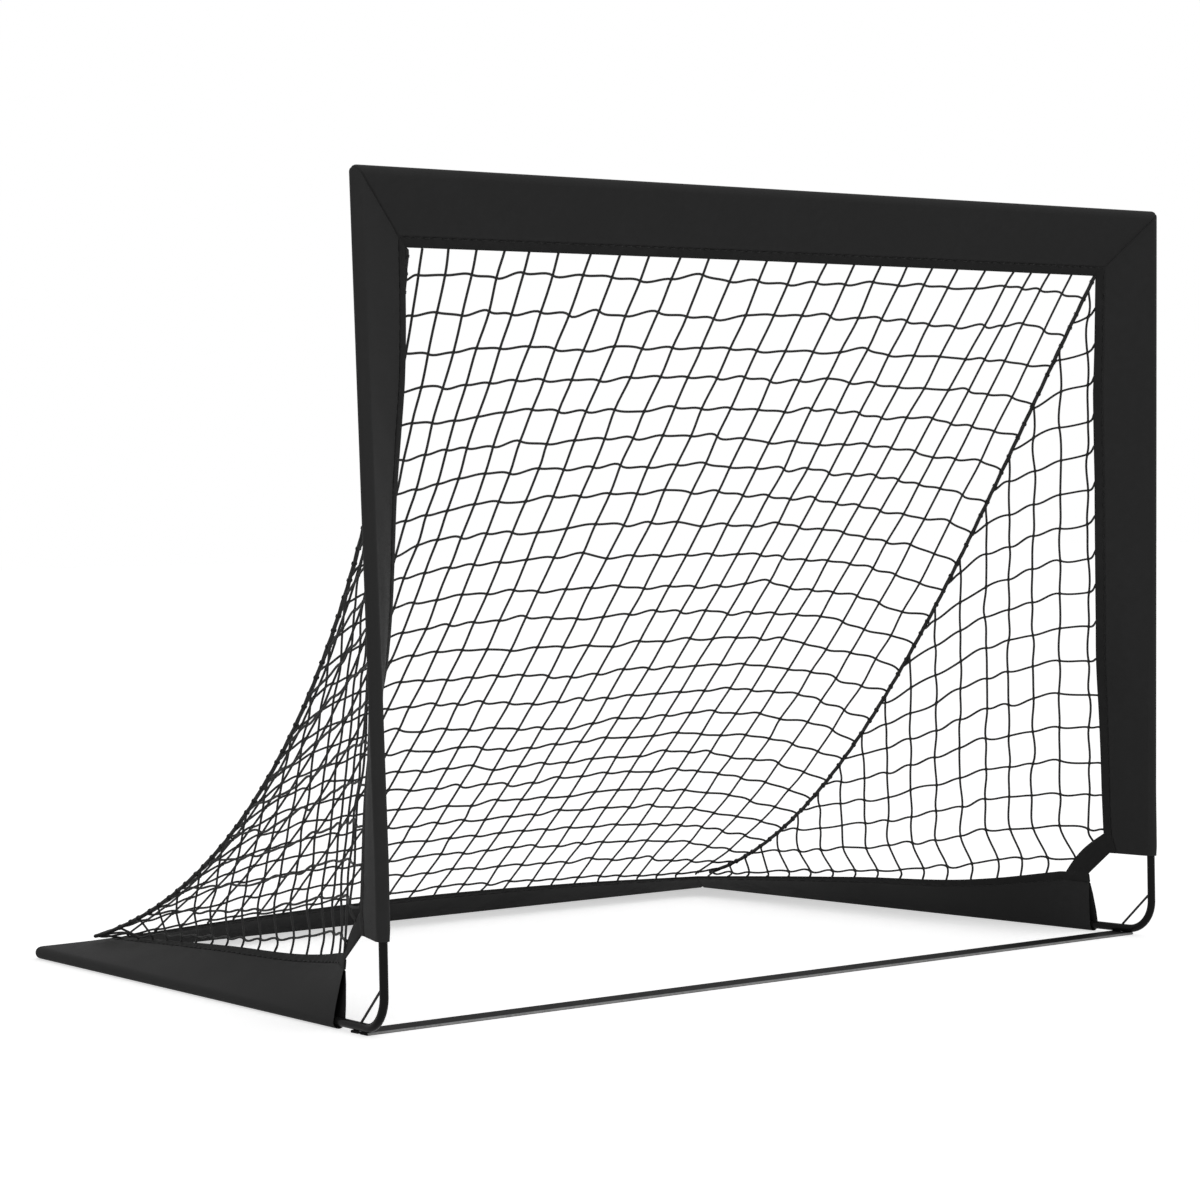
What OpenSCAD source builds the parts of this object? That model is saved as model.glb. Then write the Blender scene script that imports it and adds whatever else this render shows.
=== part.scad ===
// Knock-down goal: steel pole frame in cloth sleeves, sloping net, flat ground bar.
// Millimetres. +X runs along the mouth, +Y to the rear, +Z up. The origin lies on the
// ground in the middle of the footprint. Left pieces are mirror images of right ones.

/* [Frame] */
// Width of the mouth at the top, between pole centre lines
top_w = 1230; // [1000:5:1500]
// Width of the mouth at the ground, between elbow centre lines
bottom_w = 1200; // [980:5:1480]
// Height of the crossbar's centre line above the ground poles' centre line
mouth_h = 925; // [700:5:1200]
// Depth from the mouth to the rear pole, between centre lines
depth = 862; // [650:2:1100]
// Width across the rear, between the side poles' rear ends
rear_w = 1100; // [900:5:1400]

/* [Poles] */
// Outer diameter of the pole tube
pole_d = 12.7; // [12:0.1:16]
// Diameter of the elbows, spigots and ferrules that plug into the poles
spigot_d = 10; // [8:0.1:10.8]
// Radial clearance of a spigot in a pole
fit_gap = 0.08; // [0.02:0.01:0.1]
// Length of spigot that goes into a pole
spigot_len = 60; // [30:1:80]
// Length of the ferrule that joins two pole sections
ferrule_len = 100; // [50:1:140]
// Bore for the elastic cord through ferrules and corner pieces
cord_bore = 5; // [4.5:0.1:6]
// Length of each arm of a corner piece, from the corner to its shoulder
corner_arm = 20; // [14:1:40]

/* [Elbows] */
// Radius of the elbow's bend, on its centre line
bend_r = 39; // [25:1:42]
// Wall of the elbow tube
elbow_wall = 1.2; // [0.8:0.1:1.6]
// Height of the stop bead's top above the ground poles' centre line
elbow_up = 114; // [112:1:150]
// Distance of the stop bead's rear face behind the mouth
elbow_back = 124; // [122:1:150]
// Length of the rolled stop bead
bead_len = 3; // [2:0.5:5]

/* [Ground bar] */
// Width of the flat bar across the mouth
bar_w = 34; // [20:1:36]
// Thickness of the bar
bar_t = 3; // [2.8:0.1:5]
// Distance of the bar's middle behind the mouth
bar_back = 50; // [46:1:60]
// How far the bar runs out past the centre lines of the elbow legs
bar_over = 3; // [2.5:0.5:6]
// Shank diameter of the countersunk screws that hold the bar
screw_d = 4; // [3:0.1:4.4]

/* [Elastic cord] */
// Diameter of the elastic cord
cord_d = 3; // [2:0.1:3.6]
// Height at which the cord leaves the elbow's upright leg
cord_up = 46; // [44:1:70]
// Distance behind the mouth at which the cord enters the elbow's ground leg
cord_back = 49; // [44:1:70]

/* [Sleeves] */
// Thickness of the sleeve's skin
cloth_t = 1.25; // [0.8:0.05:1.6]
// Space between a pole and the sleeve round it
cloth_gap = 0.4; // [0.3:0.05:1]
// Width of a sleeve from the pole's centre line to its hem edge
sleeve_w = 80; // [60:1:100]
// Width of the stitched strip along the hem
hem_w = 11; // [8:1:16]
// Thickness of the stitched strip along the hem
hem_t = 3; // [2.6:0.1:4]
// How far the nets draw the lower half of an upright's hem in
hem_pull = 10; // [0:1:12]
// Height of an upright sleeve's lower end above the ground poles' centre line
upright_cuff = 98; // [92:1:98]
// Distance of a side sleeve's front end behind the mouth
side_cuff = 98; // [92:1:108]
// How far the sleeves turn back from the mouth plane at the top corners, in degrees
top_turn = 18; // [0:1:30]
// How far the crossbar's sleeve turns back in its middle, in degrees
crossbar_turn = 22; // [0:1:40]
// How far an upright's sleeve turns back at its lower end, in degrees
cuff_turn = 78; // [40:1:85]
// How far the ground sleeves lean in at the rear corners, in degrees from upright
rear_lean = 76; // [60:1:80]
// How far the rear sleeve leans forward in its middle, in degrees from upright
rear_mid_lean = 66; // [50:1:76]
// How far a side sleeve leans in at its front end, in degrees from upright
cuff_lean = 8; // [0:1:30]
// How far the corner gusset reaches up an upright's hem
gusset_w = 28; // [16:1:36]
// Thickness of the corner gusset
gusset_t = 1.6; // [1:0.1:2.4]

/* [Net] */
// Diameter of the net's twine
twine_d = 2.2; // [1.6:0.1:3]
// Number of meshes across the rear net
back_cols = 16; // [8:1:18]
// Number of meshes down the rear net
back_rows = 13; // [8:1:15]
// Size of a mesh in the side nets
side_mesh = 84; // [70:2:110]
// Diameter of the corner ropes
rope_d = 5; // [4:0.5:8]
// How far the middle of the rear net sags below a straight line
net_sag = 45; // [0:1:80]

/* [Hidden] */
$fn = 40;

// Derived sizes
pole_bore = spigot_d + 2 * fit_gap;
elbow_bore = spigot_d - 2 * elbow_wall;
bead_proud = 0.6;
bead_d = spigot_d + 2 * bead_proud;
sleeve_r = pole_d / 2 + cloth_gap + cloth_t;
axis_z = max(sleeve_r, bar_t + spigot_d / 2);
cuff_gap = 0.35;
cuff_r = bead_d / 2 + cuff_gap + cloth_t;
mouth_y = -depth / 2;
rear_y = depth / 2;
toe = atan((bottom_w - rear_w) / 2 / depth);
side_len = depth / cos(toe);
kink_past = 8;
kink_up = elbow_up + spigot_len + kink_past;
corner_lap = 0.6;
collar_len = 8;
crimp_in = 1;
crimp_bore = spigot_d - 2 * crimp_in;
upright_split = 0.42;
cord_hole_d = cord_d + 0.8;
screw_head_d = 2 * screw_d - 0.5;
screw_gap = 0.05;
screw_sunk = 0.2;
screw_tip = 1.4;
rope_r = rope_d / 2;
twine_r = twine_d / 2;
seam_gap = 0.4;
ball_proud = 0.15;
hem_clear = twine_r + seam_gap;
rope_clear = rope_r + hem_clear;

// Centre-line corners of the frame, on the right
foot = [bottom_w / 2, mouth_y, axis_z];
kink = foot + [0, 0, kink_up];
top = [top_w / 2, mouth_y, axis_z + mouth_h];
rear = [rear_w / 2, rear_y, axis_z];

FRAME_BLACK = [0.09, 0.09, 0.09];
CLOTH_BLACK = [0.17, 0.17, 0.17];
NET_BLACK = [0.06, 0.06, 0.06];
PLASTIC_GREY = [0.25, 0.25, 0.26];
STEEL_GREY = [0.55, 0.56, 0.58];
CORD_BLACK = [0.03, 0.03, 0.03];

function unit(v) = v / norm(v);
function mix(a, b, t) = a + (b - a) * t;
function left_of(p) = [-p.x, p.y, p.z];

// ---- Rods and tubes between two points ----
module rod(a, b, d) {
    v = b - a;
    translate(a)
        rotate([0, acos(v.z / norm(v)), atan2(v.y, v.x)])
            cylinder(h = norm(v), d = d);
}

module tube(a, b, od, id) {
    u = unit(b - a);
    difference() {
        rod(a, b, od);
        rod(a - u, b + u, id);
    }
}

// Draws its children on the right (side 1) or mirrored to the left (side -1)
module on_side(side) {
    if (side < 0) mirror([1, 0, 0]) children();
    else children();
}

// Draws its children in the frame of a corner: leg a along -Z, leg b in the X, Z plane
module corner_frame(at, way_a, way_b) {
    z = -way_a;
    x = unit(way_b - (z * way_b) * z);
    y = cross(z, x);
    multmatrix([
        [x.x, y.x, z.x, at.x], [x.y, y.y, z.y, at.y], [x.z, y.z, z.z, at.z], [0, 0, 0, 1]
    ]) children();
}

// ---- Elbow: bent steel tube at a front ground corner ----
// Its own frame has the corner of the centre lines at the origin and the ground leg along +Y.
module elbow_frame() {
    translate(foot) rotate([0, 0, toe]) children();
}

module elbow_bar(d, over) {
    translate([0, bend_r, bend_r]) rotate([90, 0, 90]) rotate([0, 0, 180])
        rotate_extrude(angle = 90) translate([bend_r, 0]) circle(d = d);
    rod([0, 0, bend_r], [0, 0, elbow_up + spigot_len + over], d);
    rod([0, bend_r, 0], [0, elbow_back + spigot_len + over, 0], d);
}

module stop_bead() {
    root_r = spigot_d / 2 - 0.5;
    slope = bead_len * 0.3;
    rotate_extrude() polygon([
        [root_r, 0], [bead_d / 2, slope], [bead_d / 2, bead_len], [root_r, bead_len]
    ]);
}

cord_out = [0, spigot_d / 2, cord_up];
cord_in = [0, cord_back, spigot_d / 2];
cord_way = unit(cord_in - cord_out);

module elbow() {
    reach = spigot_d / 2;
    difference() {
        union() {
            elbow_bar(spigot_d, 0);
            translate([0, 0, elbow_up - bead_len]) stop_bead();
            translate([0, elbow_back - bead_len, 0]) rotate([-90, 0, 0]) stop_bead();
        }
        elbow_bar(elbow_bore, 1);
        rod(cord_out - cord_way * reach, cord_out + cord_way * reach, cord_hole_d);
        rod(cord_in - cord_way * reach, cord_in + cord_way * reach, cord_hole_d);
        translate([0, bar_back / cos(toe), -spigot_d])
            cylinder(h = spigot_d, d = screw_d + 2 * screw_gap);
    }
}

module elbow_piece(side) {
    color(FRAME_BLACK) on_side(side) elbow_frame() elbow();
}

// Elastic cord that bypasses the bend, from bore to bore
module elbow_cord() {
    up = [0, 0, cord_out.z + cord_way.z * -spigot_d / 2 / abs(cord_way.y)];
    back = [0, cord_in.y + spigot_d / 2 * cord_way.y / abs(cord_way.z), 0];
    rod(up, back, cord_d);
    translate(up) sphere(d = cord_d + ball_proud);
    translate(back) sphere(d = cord_d + ball_proud);
    rod(up, [0, 0, elbow_up + spigot_len], cord_d);
    rod(back, [0, elbow_back + spigot_len, 0], cord_d);
}

module elbow_cord_piece(side) {
    color(CORD_BLACK) on_side(side) elbow_frame() elbow_cord();
}

// ---- Ground bar and its screws ----
bar_y = mouth_y + bar_back;
leg_x = foot.x - bar_back * tan(toe);
bar_top = axis_z - spigot_d / 2;
head_h = (screw_head_d - screw_d) / 2;

module screw_shape(grow) {
    rise = bar_t + elbow_wall + screw_tip;
    cylinder(h = head_h + grow, d1 = screw_head_d + 2 * grow, d2 = screw_d + 2 * grow);
    cylinder(h = rise, d = screw_d + 2 * grow);
}

module ground_bar() {
    half = leg_x + bar_over;
    edge = 1;
    color(FRAME_BLACK) difference() {
        translate([-half, bar_y, bar_top - bar_t / 2]) rotate([90, 0, 90])
            linear_extrude(2 * half)
                polygon([
                    [-bar_w / 2, -bar_t / 2 + edge], [-bar_w / 2 + edge, -bar_t / 2],
                    [bar_w / 2 - edge, -bar_t / 2], [bar_w / 2, -bar_t / 2 + edge],
                    [bar_w / 2, bar_t / 2 - edge], [bar_w / 2 - edge, bar_t / 2],
                    [-bar_w / 2 + edge, bar_t / 2], [-bar_w / 2, bar_t / 2 - edge]
                ]);
        for (side = [-1, 1])
            translate([side * leg_x, bar_y, bar_top - bar_t]) {
                translate([0, 0, screw_sunk]) screw_shape(screw_gap);
                translate([0, 0, -1])
                    cylinder(h = 1 + screw_sunk, d = screw_head_d + 2 * screw_gap);
            }
    }
}

module bar_screws() {
    color(STEEL_GREY) for (side = [-1, 1])
        translate([side * leg_x, bar_y, bar_top - bar_t + screw_sunk]) screw_shape(0);
}

// ---- Poles, ferrules and corner pieces ----
module pole(a, b) {
    color(FRAME_BLACK) tube(a, b, pole_d, pole_bore);
}

module ferrule(at, way) {
    color(STEEL_GREY)
        tube(at - way * ferrule_len / 2, at + way * ferrule_len / 2, spigot_d, cord_bore);
}

upright_way = unit(top - kink);
upright_mid = mix(kink, top, upright_split);
side_way = unit(rear - foot);
side_start = foot + side_way * elbow_back;
side_mid = mix(side_start, rear, 0.5);

// The lower pole stands straight on the elbow's spigot, then follows the upright's slant.
// A crimped collar joins the two lengths and stops the spigot.
module upright_pole_lower() {
    foot_end = foot + [0, 0, elbow_up];
    half = collar_len / 2;
    up = [0, 0, 1];
    color(FRAME_BLACK) difference() {
        union() {
            rod(foot_end, kink - up * half / 2, pole_d);
            rod(kink - up * half, kink + up * half, pole_d + cloth_gap);
            rod(kink + upright_way * half / 2, upright_mid, pole_d);
        }
        rod(foot_end - up, kink - up * half, pole_bore);
        rod(kink - up * (half + 1), kink + up * (half + 1), crimp_bore);
        rod(kink + upright_way * half, upright_mid + upright_way, pole_bore);
    }
}
module upright_pole_upper() {
    pole(upright_mid, top - upright_way * corner_arm);
}
module crossbar_pole() {
    pole([0, top.y, top.z], top - [corner_arm, 0, 0]);
}
module side_pole_front() {
    pole(side_start, side_mid);
}
module side_pole_rear() {
    pole(side_mid, rear - side_way * corner_arm);
}
module rear_pole() {
    pole([0, rear.y, rear.z], rear - [corner_arm, 0, 0]);
}

// Moulded corner: a round body with one spigot along each pole
module corner(at, way_a, way_b) {
    bend = acos(-way_a * way_b);
    reach = corner_arm + spigot_len;
    o = [0, 0, 0];
    ways = [[0, 0, -1], [sin(bend), 0, cos(bend)]];
    color(PLASTIC_GREY) corner_frame(at, way_a, way_b) difference() {
        union() {
            sphere(d = pole_d + 2 * ball_proud);
            for (way = ways) {
                rod(way * -corner_lap, way * corner_arm, pole_d);
                rod(way * corner_arm / 2, way * reach, spigot_d);
            }
        }
        sphere(d = 1.5 * cord_bore);
        for (way = ways) rod(o, way * (reach + 1), cord_bore);
    }
}
module top_corner() {
    corner(top, -upright_way, [-1, 0, 0]);
}
module rear_corner() {
    corner(rear, -side_way, [-1, 0, 0]);
}

// ---- Elastic cords inside the poles ----
module mouth_cord() {
    start = foot + [0, 0, elbow_up + spigot_len];
    color(CORD_BLACK) {
        for (side = [-1, 1]) on_side(side) {
            rod(start, kink, cord_d);
            translate(kink) sphere(d = cord_d + ball_proud);
            rod(kink, top, cord_d);
            translate(top) sphere(d = cord_d + ball_proud);
        }
        rod(left_of(top), top, cord_d);
    }
}

module ground_cord() {
    color(CORD_BLACK) {
        for (side = [-1, 1]) on_side(side) {
            rod(foot + side_way * (elbow_back + spigot_len), rear, cord_d);
            translate(rear) sphere(d = cord_d + ball_proud);
        }
        rod(left_of(rear), rear, cord_d);
    }
}

// ---- Sleeves: a folded band of cloth round a pole, swept along it ----
// A sleeve is [path, start, end, start mitre, end mitre, e0, e90, turns, pulls, rings, cuffs].
// Its band points along e0 turned towards e90 by an angle that changes along the sleeve,
// and its hem is pulled in by an amount that changes too.
SLEEVE_ARC = 10;

function turn_at(s, t) = lookup(t, s[7]);
function width_at(s, t) = sleeve_w - lookup(t, s[8]);
function radius_at(s, t) =
    (s[10][0] && t == 0) || (s[10][1] && t == 1) ? cuff_r / sleeve_r : 1;
function band_way(s, t) = cos(turn_at(s, t)) * s[5] + sin(turn_at(s, t)) * s[6];
function face_way(s, t) = cos(turn_at(s, t)) * s[6] - sin(turn_at(s, t)) * s[5];

function path_len(path, i = 0) =
    i + 1 >= len(path) ? 0 : norm(path[i + 1] - path[i]) + path_len(path, i + 1);
function path_at(path, s, i = 0) =
    let (run = norm(path[i + 1] - path[i]))
    s <= run || i + 2 >= len(path)
        ? path[i] + unit(path[i + 1] - path[i]) * s
        : path_at(path, s - run, i + 1);

// How far along the pole the mitre plane cuts a line that lies off it
function mitre_run(plane, way, off) = norm(plane) == 0 ? 0 : -(off * plane) / (way * plane);

// A point of the sleeve: p is [share of band width, distance along the band, height off it]
function band_off(s, t, p) =
    let (k = p[0] == 0 ? radius_at(s, t) : 1)
    (p[0] * width_at(s, t) + p[1] * k) * band_way(s, t) + p[2] * k * face_way(s, t);
function sleeve_point(s, t, p) =
    let (n = len(s[0]),
         first = unit(s[0][1] - s[0][0]),
         last = unit(s[0][n - 1] - s[0][n - 2]),
         a = s[1] + mitre_run(s[3], first, band_off(s, 0, p)),
         b = s[2] + mitre_run(s[4], last, band_off(s, 1, p)))
    path_at(s[0], mix(a, b, t)) + band_off(s, t, p);
function hem_point(s, t, past) = sleeve_point(s, t, [1, past, 0]);

// Cross-section, round the pole and out to the hem
hem_half = hem_t / 2;
hem_round = 1.5;
outer_slope = asin((sleeve_r - hem_half) / (sleeve_w - hem_w));
inner_r = sleeve_r - cloth_t;
inner_tip = hem_w + 1;
inner_slope = asin(inner_r / (sleeve_w - inner_tip));
function arc(r, slope) = [
    for (i = [0:SLEEVE_ARC])
        let (a = 90 - slope + (180 + 2 * slope) * i / SLEEVE_ARC)
        [0, r * cos(a), r * sin(a)]
];
OUTER = concat(
    [[1, -hem_w, hem_half]],
    arc(sleeve_r, outer_slope),
    [[1, -hem_w, -hem_half], [1, -hem_round, -hem_half], [1, 0, 0],
        [1, -hem_round, hem_half]]
);
INNER = concat(arc(inner_r, inner_slope), [[1, -inner_tip, 0]]);

module sleeve(s) {
    rings = s[9];
    last = len(rings) - 1;
    no = len(OUTER);
    ni = len(INNER);
    n = no + ni;
    points = [for (t = rings) each concat(
        [for (p = OUTER) sleeve_point(s, t, p)],
        [for (p = INNER) sleeve_point(s, t, p)]
    )];
    skin = [
        for (k = [0:last - 1])
            let (a = k * n, b = a + n)
            each concat(
                [for (j = [0:no - 1]) let (j2 = (j + 1) % no)
                    each [[a + j, a + j2, b + j], [a + j2, b + j2, b + j]]],
                [for (j = [0:ni - 1]) let (j2 = (j + 1) % ni, c = a + no, d = b + no)
                    each [[c + j, d + j, c + j2], [c + j2, d + j, d + j2]]]
            )
    ];
    // End faces join the two outlines: a strip round the pole, a fan at the hem
    tip = no + ni - 1;
    fan = concat([for (j = [no - 4:no - 1]) [tip, j, (j + 1) % no]],
        [[tip, 0, 1], [tip, 1, no], [tip, no - 5, no - 4], [tip, tip - 1, no - 5]]);
    strip = [for (j = [0:SLEEVE_ARC - 1])
        each [[1 + j, 2 + j, no + j], [2 + j, no + j + 1, no + j]]];
    end_face = concat(fan, strip);
    z = last * n;
    faces = concat(
        skin,
        [for (f = end_face) [f[0], f[2], f[1]]],
        [for (f = end_face) [z + f[0], z + f[1], z + f[2]]]
    );
    color(CLOTH_BLACK) polyhedron(points, faces);
}

top_mitre = unit([-1, 0, 0] - unit(kink - top));
rear_mitre = unit([-1, 0, 0] - unit(foot - rear));
inward = [-cos(toe), -sin(toe), 0];
upright_run = path_len([top, kink, foot]);
kink_t = (upright_run - kink_up) / (upright_run - upright_cuff);

ground_pull = 3;
cuff_pull = 5.5;
cuff_run = 12;
UPRIGHT = [
    [top, kink, foot], 0, upright_run - upright_cuff, top_mitre, [0, 0, 0],
    [-1, 0, 0], [0, 1, 0],
    [[0, top_turn], [0.15, mix(top_turn, cuff_turn, 0.05)], [0.35, mix(top_turn, cuff_turn, 0.22)],
        [0.6, mix(top_turn, cuff_turn, 0.44)], [0.75, mix(top_turn, cuff_turn, 0.79)],
        [1, cuff_turn]],
    [[0, 0], [0.25, 0], [0.45, 0.7 * hem_pull], [0.6, hem_pull], [1, hem_pull]],
    [0, 0.15, 0.25, 0.35, 0.45, 0.6, 0.68, 0.75, kink_t, 1 - cuff_run / upright_run, 1],
    [false, true]
];
CROSSBAR = [
    [left_of(top), top], 0, top_w, left_of(top_mitre), top_mitre,
    [0, 0, -1], [0, 1, 0],
    [[0, top_turn], [0.25, mix(top_turn, crossbar_turn, 0.7)], [0.5, crossbar_turn],
        [0.75, mix(top_turn, crossbar_turn, 0.7)], [1, top_turn]],
    [[0, 0], [1, 0]], [0, 0.25, 0.5, 0.75, 1], [false, false]
];
SIDE = [
    [foot, rear], side_cuff, side_len, [0, 0, 0], rear_mitre,
    [0, 0, 1], inward,
    [[0, cuff_lean], [0.08, mix(cuff_lean, rear_lean, 0.28)], [0.2, mix(cuff_lean, rear_lean, 0.53)],
        [0.55, mix(cuff_lean, rear_lean, 0.74)], [1, rear_lean]],
    [[0, cuff_pull], [0.2, ground_pull], [0.55, ground_pull], [1, 0]],
    [0, cuff_run / side_len, 0.08, 0.2, 0.38, 0.55, 0.78, 1], [true, false]
];
REAR = [
    [left_of(rear), rear], 0, rear_w, left_of(rear_mitre), rear_mitre,
    [0, 0, 1], [0, -1, 0],
    [[0, rear_lean], [0.25, mix(rear_lean, rear_mid_lean, 0.7)], [0.5, rear_mid_lean],
        [0.75, mix(rear_lean, rear_mid_lean, 0.7)], [1, rear_lean]],
    [[0, 0], [0.25, 0.7 * ground_pull], [0.5, ground_pull], [0.75, 0.7 * ground_pull], [1, 0]],
    [0, 0.25, 0.5, 0.75, 1], [false, false]
];

// ---- Gusset: cloth patch that joins an upright's hem to a side sleeve's hem ----
gusset_up = gusset_w / (upright_run - upright_cuff);
gusset_back = 1.3 * gusset_w / (side_len - side_cuff);

module gusset(side) {
    edge = seam_gap + gusset_t / 2;
    rim = [
        hem_point(UPRIGHT, 1, edge), hem_point(UPRIGHT, 1 - gusset_up, edge),
        hem_point(SIDE, gusset_back, edge), hem_point(SIDE, 0, edge)
    ];
    half = [gusset_t / 2, 0, 0];
    points = concat([for (p = rim) p + half], [for (p = rim) p - half]);
    color(CLOTH_BLACK) on_side(side) polyhedron(points, [
        [0, 1, 2], [0, 2, 3], [4, 6, 5], [4, 7, 6],
        [0, 4, 1], [1, 4, 5], [1, 5, 2], [2, 5, 6],
        [2, 6, 3], [3, 6, 7], [3, 7, 0], [0, 7, 4]
    ]);
}

// ---- Corner rope: a sagging line from the mouth's top corner to the rear corner ----
rope_top = hem_point(UPRIGHT, 0, 0) + [-rope_r - seam_gap, seam_gap, -rope_r - seam_gap];
rope_in = 37;
rope_foot = rear
    + [-rope_in, -rope_in, rope_in / tan(rear_lean) + sleeve_r / 2 + rope_r + 2 * seam_gap];
// Pull of the nets on the rope a third and two thirds down: inward, forward and down
ROPE_PULL = [[-70, -100, -60], [-58, -128, -198]];
function rope_at(t) =
    let (a = rope_top, d = rope_foot,
         b = mix(a, d, 1 / 3) + ROPE_PULL[0],
         c = mix(a, d, 2 / 3) + ROPE_PULL[1],
         u = 1 - t)
    u * u * u * a + 3 * u * u * t * b + 3 * u * t * t * c + t * t * t * d;
function rope_way(t) = unit(rope_at(min(t + 0.01, 1)) - rope_at(max(t - 0.01, 0)));
// Share of the way down the rope at which its coordinate k has a value
function rope_share(k, value, lo = 0, hi = 1, n = 24) =
    let (m = (lo + hi) / 2, below = (rope_at(m)[k] - value) * (rope_at(1)[k] - rope_at(0)[k]) < 0)
    n == 0 ? m : rope_share(k, value, below ? m : lo, below ? hi : m, n - 1);

module corner_rope(side) {
    rings = 26;
    sides = 8;
    points = [
        for (i = [0:rings])
            let (t = i / rings, way = rope_way(t), n = unit(cross(way, [1, 0, 0])), m = cross(n, way))
            for (j = [0:sides - 1])
                rope_at(t) + rope_r * (cos(360 * j / sides) * n + sin(360 * j / sides) * m)
    ];
    last = rings * sides;
    faces = concat(
        [for (i = [0:rings - 1]) for (j = [0:sides - 1])
            let (a = i * sides + j, b = i * sides + (j + 1) % sides)
            each [[a, b, a + sides], [b, b + sides, a + sides]]],
        [for (j = [1:sides - 2]) [0, j + 1, j]],
        [for (j = [1:sides - 2]) [last, last + j, last + j + 1]]
    );
    color(NET_BLACK) on_side(side) polyhedron(points, faces);
}

// ---- Nets: a lattice of four-sided strings round each mesh ----
knot_reach = 1.4 * twine_r;
function centre(cell) = [for (k = [0:2]) [for (p = cell) p[k]] * [for (p = cell) 1] / len(cell)];
function cell_points(cell, lift) =
    let (m = centre(cell))
    [for (p = cell) each [p + lift, p - lift, p + unit(m - p) * knot_reach]];
function cell_faces(cell, s) =
    let (k = len(cell))
    [for (i = [0:k - 1])
        let (a = s + 3 * i, b = s + 3 * ((i + 1) % k))
        each [[a, a + 2, b], [a + 2, b + 2, b], [a + 1, b + 1, a + 2], [a + 2, b + 1, b + 2]]];
function starts(cells, i = 0, s = 0) =
    i >= len(cells) ? [] : concat([s], starts(cells, i + 1, s + 3 * len(cells[i])));

// border lists the net's rim points in order, each with the way out of the net
module lattice(cells, border, lift) {
    at = starts(cells);
    last = len(cells) - 1;
    rim = at[last] + 3 * len(cells[last]);
    nb = len(border);
    points = concat(
        [for (c = cells) each cell_points(c, lift)],
        [for (b = border) each [b[0] + lift, b[0] - lift, b[0] + b[1] * twine_r]]
    );
    faces = concat(
        [for (i = [0:last]) each cell_faces(cells[i], at[i])],
        [for (i = [0:nb - 1])
            let (a = rim + 3 * i, b = rim + 3 * ((i + 1) % nb))
            each [[a, b, a + 2], [a + 2, b, b + 2], [a + 1, a + 2, b + 1], [a + 2, b + 2, b + 1]]]
    );
    color(NET_BLACK) polyhedron(points, faces);
}

// Rear net, from the crossbar's hem down to the rear sleeve's hem, between the two ropes
rear_hem_y = hem_point(REAR, 0, 0).y;
net_foot = rope_share(1, rear_hem_y - 3 * hem_clear);
mid_top = hem_point(CROSSBAR, 0.5, hem_clear);
mid_foot = hem_point(REAR, 0.5, hem_clear);
sag_way = unit([0, -mouth_h, -depth]);
function mid_at(v) = mix(mid_top, mid_foot, v) + sag_way * net_sag * 4 * v * (1 - v);
function rear_net_at(u, v) =
    let (r = rope_at(v * net_foot), m = mid_at(v), k = 4 * u * (1 - u))
    [(2 * u - 1) * (r.x - rope_clear), mix(r.y, m.y, k), mix(r.z, m.z, k)];

module rear_net() {
    nc = back_cols;
    nr = back_rows;
    function at(i, j) = rear_net_at(i / nc, j / nr);
    cells = [for (i = [0:nc - 1]) for (j = [0:nr - 1])
        [at(i, j), at(i, j + 1), at(i + 1, j + 1), at(i + 1, j)]];
    border = concat(
        [for (j = [0:nr - 1]) [at(0, j), j == 0 ? unit([-1, 0, 1]) : [-1, 0, 0]]],
        [for (i = [0:nc - 1]) [at(i, nr), i == 0 ? unit([-1, 0.5, -1]) : unit([0, 1, -0.3])]],
        [for (j = [nr:-1:1]) [at(nc, j), j == nr ? unit([1, 0.5, -1]) : [1, 0, 0]]],
        [for (i = [nc:-1:1]) [at(i, 0), i == nc ? unit([1, 0, 1]) : [0, 0, 1]]]
    );
    lattice(cells, border, unit([0, 1, 1]) * twine_r);
}

// Side net, from the upright's hem back along the rope and down to the side sleeve's hem
hem_low_t = 1 - gusset_up;
upright_hem_top = hem_point(UPRIGHT, 0, 0).z;
upright_hem_low = hem_point(UPRIGHT, 1, 0).z;
row_foot = hem_point(UPRIGHT, hem_low_t, 0).z + hem_clear;
col_first = hem_point(SIDE, gusset_back, 0).y + 2 * hem_clear;
// The last column stands where the rope is this high, and the columns lie closer than the rows
last_rise = 50;
col_share = 0.8;
col_last = rope_at(rope_share(2, axis_z + last_rise)).y;
col_count = round((col_last - col_first) / (side_mesh * col_share));
function col_y(i) = mix(col_first, col_last, (i - 1) / (col_count - 1));
function row_z(j) = row_foot + j * side_mesh;
// The rope bows out between two of the side net's rim points
rope_bow = 1.5;
function rope_side(t) =
    let (w = rope_way(t), n = unit([0, w.z, -w.y]))
    [rope_at(t) + n * (rope_clear + rope_bow), -n];
function side_hem_share(y) =
    let (a = hem_point(SIDE, 0, 0).y, b = hem_point(SIDE, 1, 0).y) (y - a) / (b - a);
function upright_hem_share(z) = (upright_hem_top - z) / (upright_hem_top - upright_hem_low);

// Rim points of the side net: column foot, column top, row end on the rope, row end on the upright
function col_foot(i) =
    let (t = side_hem_share(col_y(i)))
    [hem_point(SIDE, t, hem_clear), -band_way(SIDE, t)];
function col_top(i) = rope_side(i == 0 ? 0.02 : rope_share(1, col_y(i)));
function row_end(j) = rope_side(rope_share(2, row_z(j)));
function row_start(j) =
    let (t = upright_hem_share(row_z(j)))
    [hem_point(UPRIGHT, t, hem_clear), -band_way(UPRIGHT, t)];
function rows_in(i) =
    max(0, ceil((col_top(i)[0].z - row_foot) / side_mesh - 0.25));
function knot(i, j) =
    i == 0 ? row_start(j)[0]
    : let (a = col_foot(i)[0], b = col_top(i)[0]) mix(a, b, (row_z(j) - a.z) / (b.z - a.z));

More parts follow.
